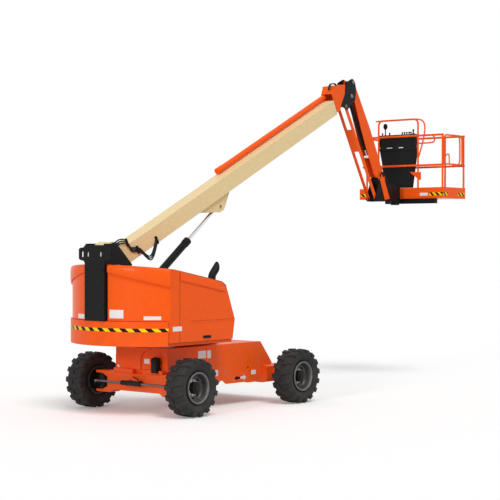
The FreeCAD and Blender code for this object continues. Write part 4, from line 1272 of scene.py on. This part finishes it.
class LIFT_OT_boom(Operator):
    """Add hoses, bolts, clamps and the cylinder's pipe to the boom"""
    bl_idname = "boom_lift.boom"
    bl_label = "Dress the boom"

    def execute(self, context):
        wall = low("boom_base").y
        for index, (shift, out) in enumerate(((0.0, 0.012), (0.031, 0.013), (-0.030, 0.013))):
            route = [at(x, wall - out, z) + RISE * shift for x, z in BOOM_HOSE]
            route = [route[0] + Y * 0.03 - ALONG * 0.04, *route, route[-1] + Y * 0.03 + ALONG * 0.02]
            seat(tube(f"boom_hose_{index}", route, 0.0105, hose_rubber()), "boom", "hose_tube")
        for index, (x, z) in enumerate(HOSE_CLAMPS):
            clamp = panel(f"hose_clamp_{index}", at(x, wall, z), ALONG, RISE,
                          rounded_outline(0.03, 0.12, 0.006), 0.03, black_enamel(), 0.003)
            seat(clamp, "boom", "black_paint")
        for side, heading in (("right", -1), ("left", 1)):
            heads = [at(x, heading * -wall, z) for x, z in MOUTH_BOLTS]
            bolts = studded(f"mouth_bolts_{side}", heads, bolt_head(Y * heading, zinc(), 0.011), zinc())
            seat(bolts, "boom", "cream_paint")
        for index, across in enumerate((-0.10, -0.075)):
            route = [at(x, across, z) for x, z in NOSE_HOSE]
            seat(tube(f"nose_hose_{index}", route, 0.0095, hose_rubber()), "fly", "hose_tube")

        foot, eye = [at(x, 0, z) for x, z in LIFT_EYES]
        axis = (eye - foot).normalized()
        over = Vector((-axis.z, 0, axis.x))
        side = over * 0.045 - Y * 0.050
        pipe = [foot + axis * reach + side * out for reach, out in CYLINDER_PIPE]
        seat(tube("lift_cylinder_pipe", pipe, 0.009, black_enamel()), "lift_barrel", "black_paint")
        for index, reach in enumerate((0.55, 1.05, 1.55)):
            clamp = panel(f"pipe_clamp_{index}", foot + axis * reach + side * 0.72, axis, side.cross(axis),
                          rounded_outline(0.03, 0.032, 0.004), 0.03, black_enamel(), 0.002)
            seat(clamp, "lift_barrel", "black_paint")
        return {"FINISHED"}


# ---------------------------------------------------------------- jib and platform

# Pins of the jib: x and z, radius of the head, how proud it is, and the body it rides on.
JIB_PINS = {"jib_top_pin": (5.220, 5.290, 0.033, 0.014, "level_bracket"),
            "nose_pin": (5.147, 5.046, 0.038, 0.014, "fly"),
            "jib_low_pin": (5.020, 4.865, 0.030, 0.0008, "level_bracket"),
            "foot_top_pin": (6.135, 3.705, 0.033, 0.014, "jib_foot"),
            "foot_low_pin": (5.935, 3.280, 0.030, 0.014, "jib_foot")}
FOOT_STRAP = [(6.040, 3.617), (6.075, 3.700), (6.135, 3.735), (6.175, 3.700), (6.185, 3.600), (6.340, 3.290),
              (6.190, 3.262)]


def pin_place(name):
    """Where the axis of one of the jib's pins crosses the centre plane."""
    x, z = JIB_PINS[name][:2]
    return at(x, 0, z)


class LIFT_OT_jib(Operator):
    """Add the jib's pin heads, foot straps and the tie between its lower bars"""
    bl_idname = "boom_lift.jib"
    bl_label = "Dress the jib"

    def execute(self, context):
        cheek = low("level_bracket").y
        for name, (x, z, radius, proud, body) in JIB_PINS.items():
            face = low("nose_fork").y if body == "fly" else cheek
            material = black_enamel() if body == "jib_foot" else ground_steel()
            head = pin_head(f"{name}_right", at(x, face, z), radius, material, proud)
            seat(flipped(head, f"{name}_left"), body, "black_paint")
            seat(head, body, "black_paint")
        strap = panel("foot_strap_right", at(0, cheek, 0), X, Z, FOOT_STRAP, 0.008, orange_enamel(), 0.002)
        seat(flipped(strap, "foot_strap_left"), "jib_foot", "orange_paint")
        seat(strap, "jib_foot", "orange_paint")
        down = (pin_place("foot_top_pin") - pin_place("jib_top_pin")).normalized()
        start, end, half = 0.44, 0.87, 0.0732
        tie = panel("lower_arm_tie", pin_place("jib_low_pin") - down.cross(Y) * 0.036, down, Y,
                    [(start, -half), (end, -half), (end, half), (start, half)], 0.006, orange_enamel(), 0.001)
        seat(tie, "jib_lower_arm", "orange_paint")
        return {"FINISHED"}


def steps_between(start, stop, step):
    """Even steps from start to stop."""
    return [start + step * index for index in range(int((stop - start) / step + 1e-6) + 1)]


def tread_bar(lean, material):
    """One raised bar of tread plate about the origin, leaning by some degrees in plan."""
    outline = [(-0.014, 0), (-0.006, -0.0045), (0.006, -0.0045), (0.014, 0), (0.006, 0.0045),
               (-0.006, 0.0045)]
    turn = Matrix.Rotation(math.radians(lean), 3, "Z")
    vertices = [turn @ Vector((x * spread, y * spread, z)) for spread, z in ((1.0, 0), (0.7, 0.0016))
                for x, y in outline]
    faces = [*bridge(0, 6, 6), tuple(range(6)), tuple(range(6, 12))]
    return tidy_mesh(piece("tread_bar", vertices, faces, material))


# Bent bars of the guard rails: y and z of the ones on the front; radius, then x and z of the others.
BAR_RADIUS = 0.0145
FRONT_BARS = {
    "guard_ear_right": [(-0.27, 4.745), (-0.40, 4.742), (-0.485, 4.70), (-0.52, 4.62), (-0.515, 4.50),
                        (-0.46, 4.27), (-0.378, 4.04)],
    "guard_ear_left": [(0.40, 4.745), (0.47, 4.745), (0.555, 4.74)],
    "hand_loop": [(-0.37, 4.300), (-0.62, 4.300), (-0.71, 4.310), (-0.73, 4.37), (-0.71, 4.425),
                  (-0.66, 4.440)],
}
RIGHT_BARS = {
    "latch_loop": (0.012, [(7.085, 3.905), (7.085, 4.08), (7.06, 4.095), (6.995, 4.095), (6.985, 4.06)]),
    "end_hoop": (BAR_RADIUS, [(7.20, 4.444), (7.36, 4.444), (7.435, 4.41), (7.445, 4.30), (7.445, 4.05),
                              (7.435, 3.94), (7.36, 3.905), (7.22, 3.905)]),
}
RAIL_TAB = [(0.19, 3.786), (0.434, 3.777), (0.434, 3.638), (0.40, 3.636), (0.28, 3.716)]
# Turned fittings on the console's shelf as (radius, height), and where the knobs stand across it.
HORN = [(0, 0), (0.020, 0), (0.020, 0.05), (0.010, 0.056), (0.010, 0.15), (0.026, 0.165), (0.038, 0.19),
        (0.040, 0.215), (0.032, 0.245), (0.016, 0.262), (0, 0.266)]
LEVER = [(0, 0), (0.028, 0), (0.028, 0.045), (0.022, 0.058), (0.011, 0.066), (0.010, 0.085), (0.016, 0.097),
         (0.016, 0.125), (0.010, 0.136), (0, 0.138)]
KNOB = [(0, 0), (0.018, 0), (0.018, 0.048), (0.009, 0.052), (0.009, 0.064), (0.016, 0.069), (0.018, 0.079),
        (0.012, 0.090), (0, 0.092)]
KNOB_PLACES = (0.46, 0.30, 0.02, -0.03, -0.08, -0.13, -0.17)
TREAD_PITCH, TREAD_MARGIN = 0.045, 0.05


class LIFT_OT_platform(Operator):
    """Add the platform's bent bars, brackets, blank plates, floor tread and console fittings"""
    bl_idname = "boom_lift.platform"
    bl_label = "Dress the platform"

    def execute(self, context):
        rail = low("platform_rails") + Vector((0.016, 0.016, 0))
        for name, route in FRONT_BARS.items():
            seat(tube(name, [Vector((rail.x, y, z)) for y, z in route], BAR_RADIUS, orange_enamel()),
                 "platform", "orange_paint")
        for name, (radius, route) in RIGHT_BARS.items():
            seat(tube(name, [at(x, rail.y, z) for x, z in route], radius, orange_enamel()), "platform",
                 "orange_paint")
        tab = panel("rail_bracket", Vector((rail.x + 0.006, 0, 0)), -Y, Z, RAIL_TAB, 0.012, orange_enamel(),
                    0.002)
        seat(tab, "platform", "orange_paint")
        board = low("platform_toe_boards")
        card("toe_plate", Vector((board.x, -0.506, board.z + 0.078)), -Y, rounded_outline(0.17, 0.052, 0.006),
             "platform", "orange_paint")

        floor, edge = low("platform_floor"), high("platform_floor")
        for name, lean, shift in (("a", 45, 0.0), ("b", -45, TREAD_PITCH / 2)):
            first, last = TREAD_MARGIN + shift, TREAD_MARGIN
            spots = [(x, y, edge.z) for x in steps_between(floor.x + first, edge.x - last, TREAD_PITCH)
                     for y in steps_between(floor.y + first, edge.y - last, TREAD_PITCH)]
            tread = studded(f"floor_tread_{name}", spots, tread_bar(lean, tread_plate()), tread_plate())
            seat(tread, "platform", "floor_plate")

        console = low("platform_console")
        shelf = Vector((console.x + 0.045, 0, high("platform_console").z - 0.045))
        fittings = [("console_horn", 0.395, HORN, 28), ("drive_lever", -0.222, LEVER, 28)]
        fittings += [(f"console_knob_{index}", across, KNOB, 20) for index, across in enumerate(KNOB_PLACES)]
        for name, across, profile, steps in fittings:
            foot = shelf + Y * across
            fitting = upright(lathe(name, profile, foot, black_moulding_and_hole_shade(), steps), foot)
            seat(fitting, "platform", "black_plastic")
        for index, (across, wide) in enumerate(((0.27, 0.12), (0.02, 0.10))):
            card(f"console_card_{index}", Vector((console.x, across, console.z + 0.05)), -Y,
                 rounded_outline(wide, 0.016, 0.002), "platform", "black_plastic")
        return {"FINISHED"}


# ---------------------------------------------------------------- stage

class LIFT_OT_stage(Operator):
    """Set the floor, the lamps and the camera"""
    bl_idname = "boom_lift.stage"
    bl_label = "Set the stage"

    def execute(self, context):
        scene = context.scene
        options = settings().stage
        scene.view_settings.view_transform = "Standard"
        reach = 90
        corners = [(-reach, -reach, 0), (reach, -reach, 0), (reach, reach, 0), (-reach, reach, 0)]
        floor = piece("studio_floor", corners, [(0, 1, 2, 3)], bpy.data.materials.new("Studio floor"))
        floor.data.materials[0].use_nodes = True
        tree = floor.data.materials[0].node_tree
        shader = tree.nodes["Principled BSDF"]
        path = tree.nodes.new("ShaderNodeLightPath")
        seen = maths(tree, "SUBTRACT", 1.0, path.outputs["Is Diffuse Ray"])
        pale = mix_colour(tree, seen, tuple(options.bounce), tuple(options.floor))
        wire(tree, pale, shader.inputs["Base Color"])
        shader.inputs["Emission Color"].default_value = (1, 1, 1, 1)
        wire(tree, maths(tree, "MULTIPLY", seen, options.glow), shader.inputs["Emission Strength"])
        shader.inputs["Roughness"].default_value = 0.9
        shader.inputs["Specular IOR Level"].default_value = 0.1

        world = bpy.data.worlds.new("Studio")
        scene.world = world
        world.use_nodes = True
        tree = world.node_tree
        soft, bright = tree.nodes["Background"], tree.nodes.new("ShaderNodeBackground")
        soft.inputs["Color"].default_value = (1, 1, 1, 1)
        soft.inputs["Strength"].default_value = options.sky
        bright.inputs["Color"].default_value = (1, 1, 1, 1)
        bright.inputs["Strength"].default_value = 1.0
        path = tree.nodes.new("ShaderNodeLightPath")
        seen = maths(tree, "ADD", path.outputs["Is Camera Ray"], path.outputs["Is Glossy Ray"], clamp=True)
        seen = maths(tree, "ADD", seen, path.outputs["Is Transmission Ray"], clamp=True)
        blend = tree.nodes.new("ShaderNodeMixShader")
        wire(tree, seen, blend.inputs["Fac"])
        wire(tree, soft.outputs[0], blend.inputs[1])
        wire(tree, bright.outputs[0], blend.inputs[2])
        wire(tree, blend.outputs[0], tree.nodes["World Output"].inputs["Surface"])

        lamps = {"Sun": (options.sun, 24, Vector((0.45, 0.9, -1.4))),
                 "Low sun": (options.low_sun, 14, Vector((0.96, 0.14, -0.27)))}
        for name, (level, spread, heading) in lamps.items():
            lamp = bpy.data.lights.new(name, "SUN")
            lamp.energy, lamp.angle = level, math.radians(spread)
            placed(name, lamp).rotation_euler = heading.to_track_quat("-Z", "Y").to_euler()

        steer = (centre("tyre_steer_left") + centre("tyre_steer_right")) / 2
        view = bpy.data.cameras.new("Camera")
        view.lens, view.sensor_width = options.lens, 36
        view.clip_end = 300
        camera = placed("Camera", view)
        camera.location = (steer.x - options.back, -options.side, options.eye)
        camera.rotation_euler = (math.radians(90) - options.dip, 0, -options.heading)
        scene.camera = camera
        return {"FINISHED"}


# ---------------------------------------------------------------- panel and run

STEPS = [LIFT_OT_paint, LIFT_OT_tyres, LIFT_OT_wheels, LIFT_OT_bands, LIFT_OT_hoods, LIFT_OT_chassis,
         LIFT_OT_tail, LIFT_OT_exhaust, LIFT_OT_boom, LIFT_OT_jib, LIFT_OT_platform, LIFT_OT_stage]
GROUPS = [PaintSettings, TyreSettings, WheelSettings, StripeSettings, StageSettings, LiftSettings]


class LIFT_PT_looks(Panel):
    """Lists the steps that finish the boom lift"""
    bl_label = "Boom Lift"
    bl_idname = "LIFT_PT_looks"
    bl_space_type = "VIEW_3D"
    bl_region_type = "UI"
    bl_category = "Boom Lift"

    def draw(self, context):
        for step in STEPS:
            self.layout.operator(step.bl_idname)


def register():
    for kind in GROUPS + STEPS + [LIFT_PT_looks]:
        bpy.utils.register_class(kind)
    bpy.types.Scene.boom_lift = PointerProperty(type=LiftSettings, name="Boom lift",
                                                description="Sizes and colours of the boom lift's looks")


def unregister():
    del bpy.types.Scene.boom_lift
    for kind in reversed(GROUPS + STEPS + [LIFT_PT_looks]):
        bpy.utils.unregister_class(kind)


def main():
    register()
    for step in STEPS:
        family, name = step.bl_idname.split(".")
        getattr(getattr(bpy.ops, family), name)()


if __name__ == "__main__":
    main()
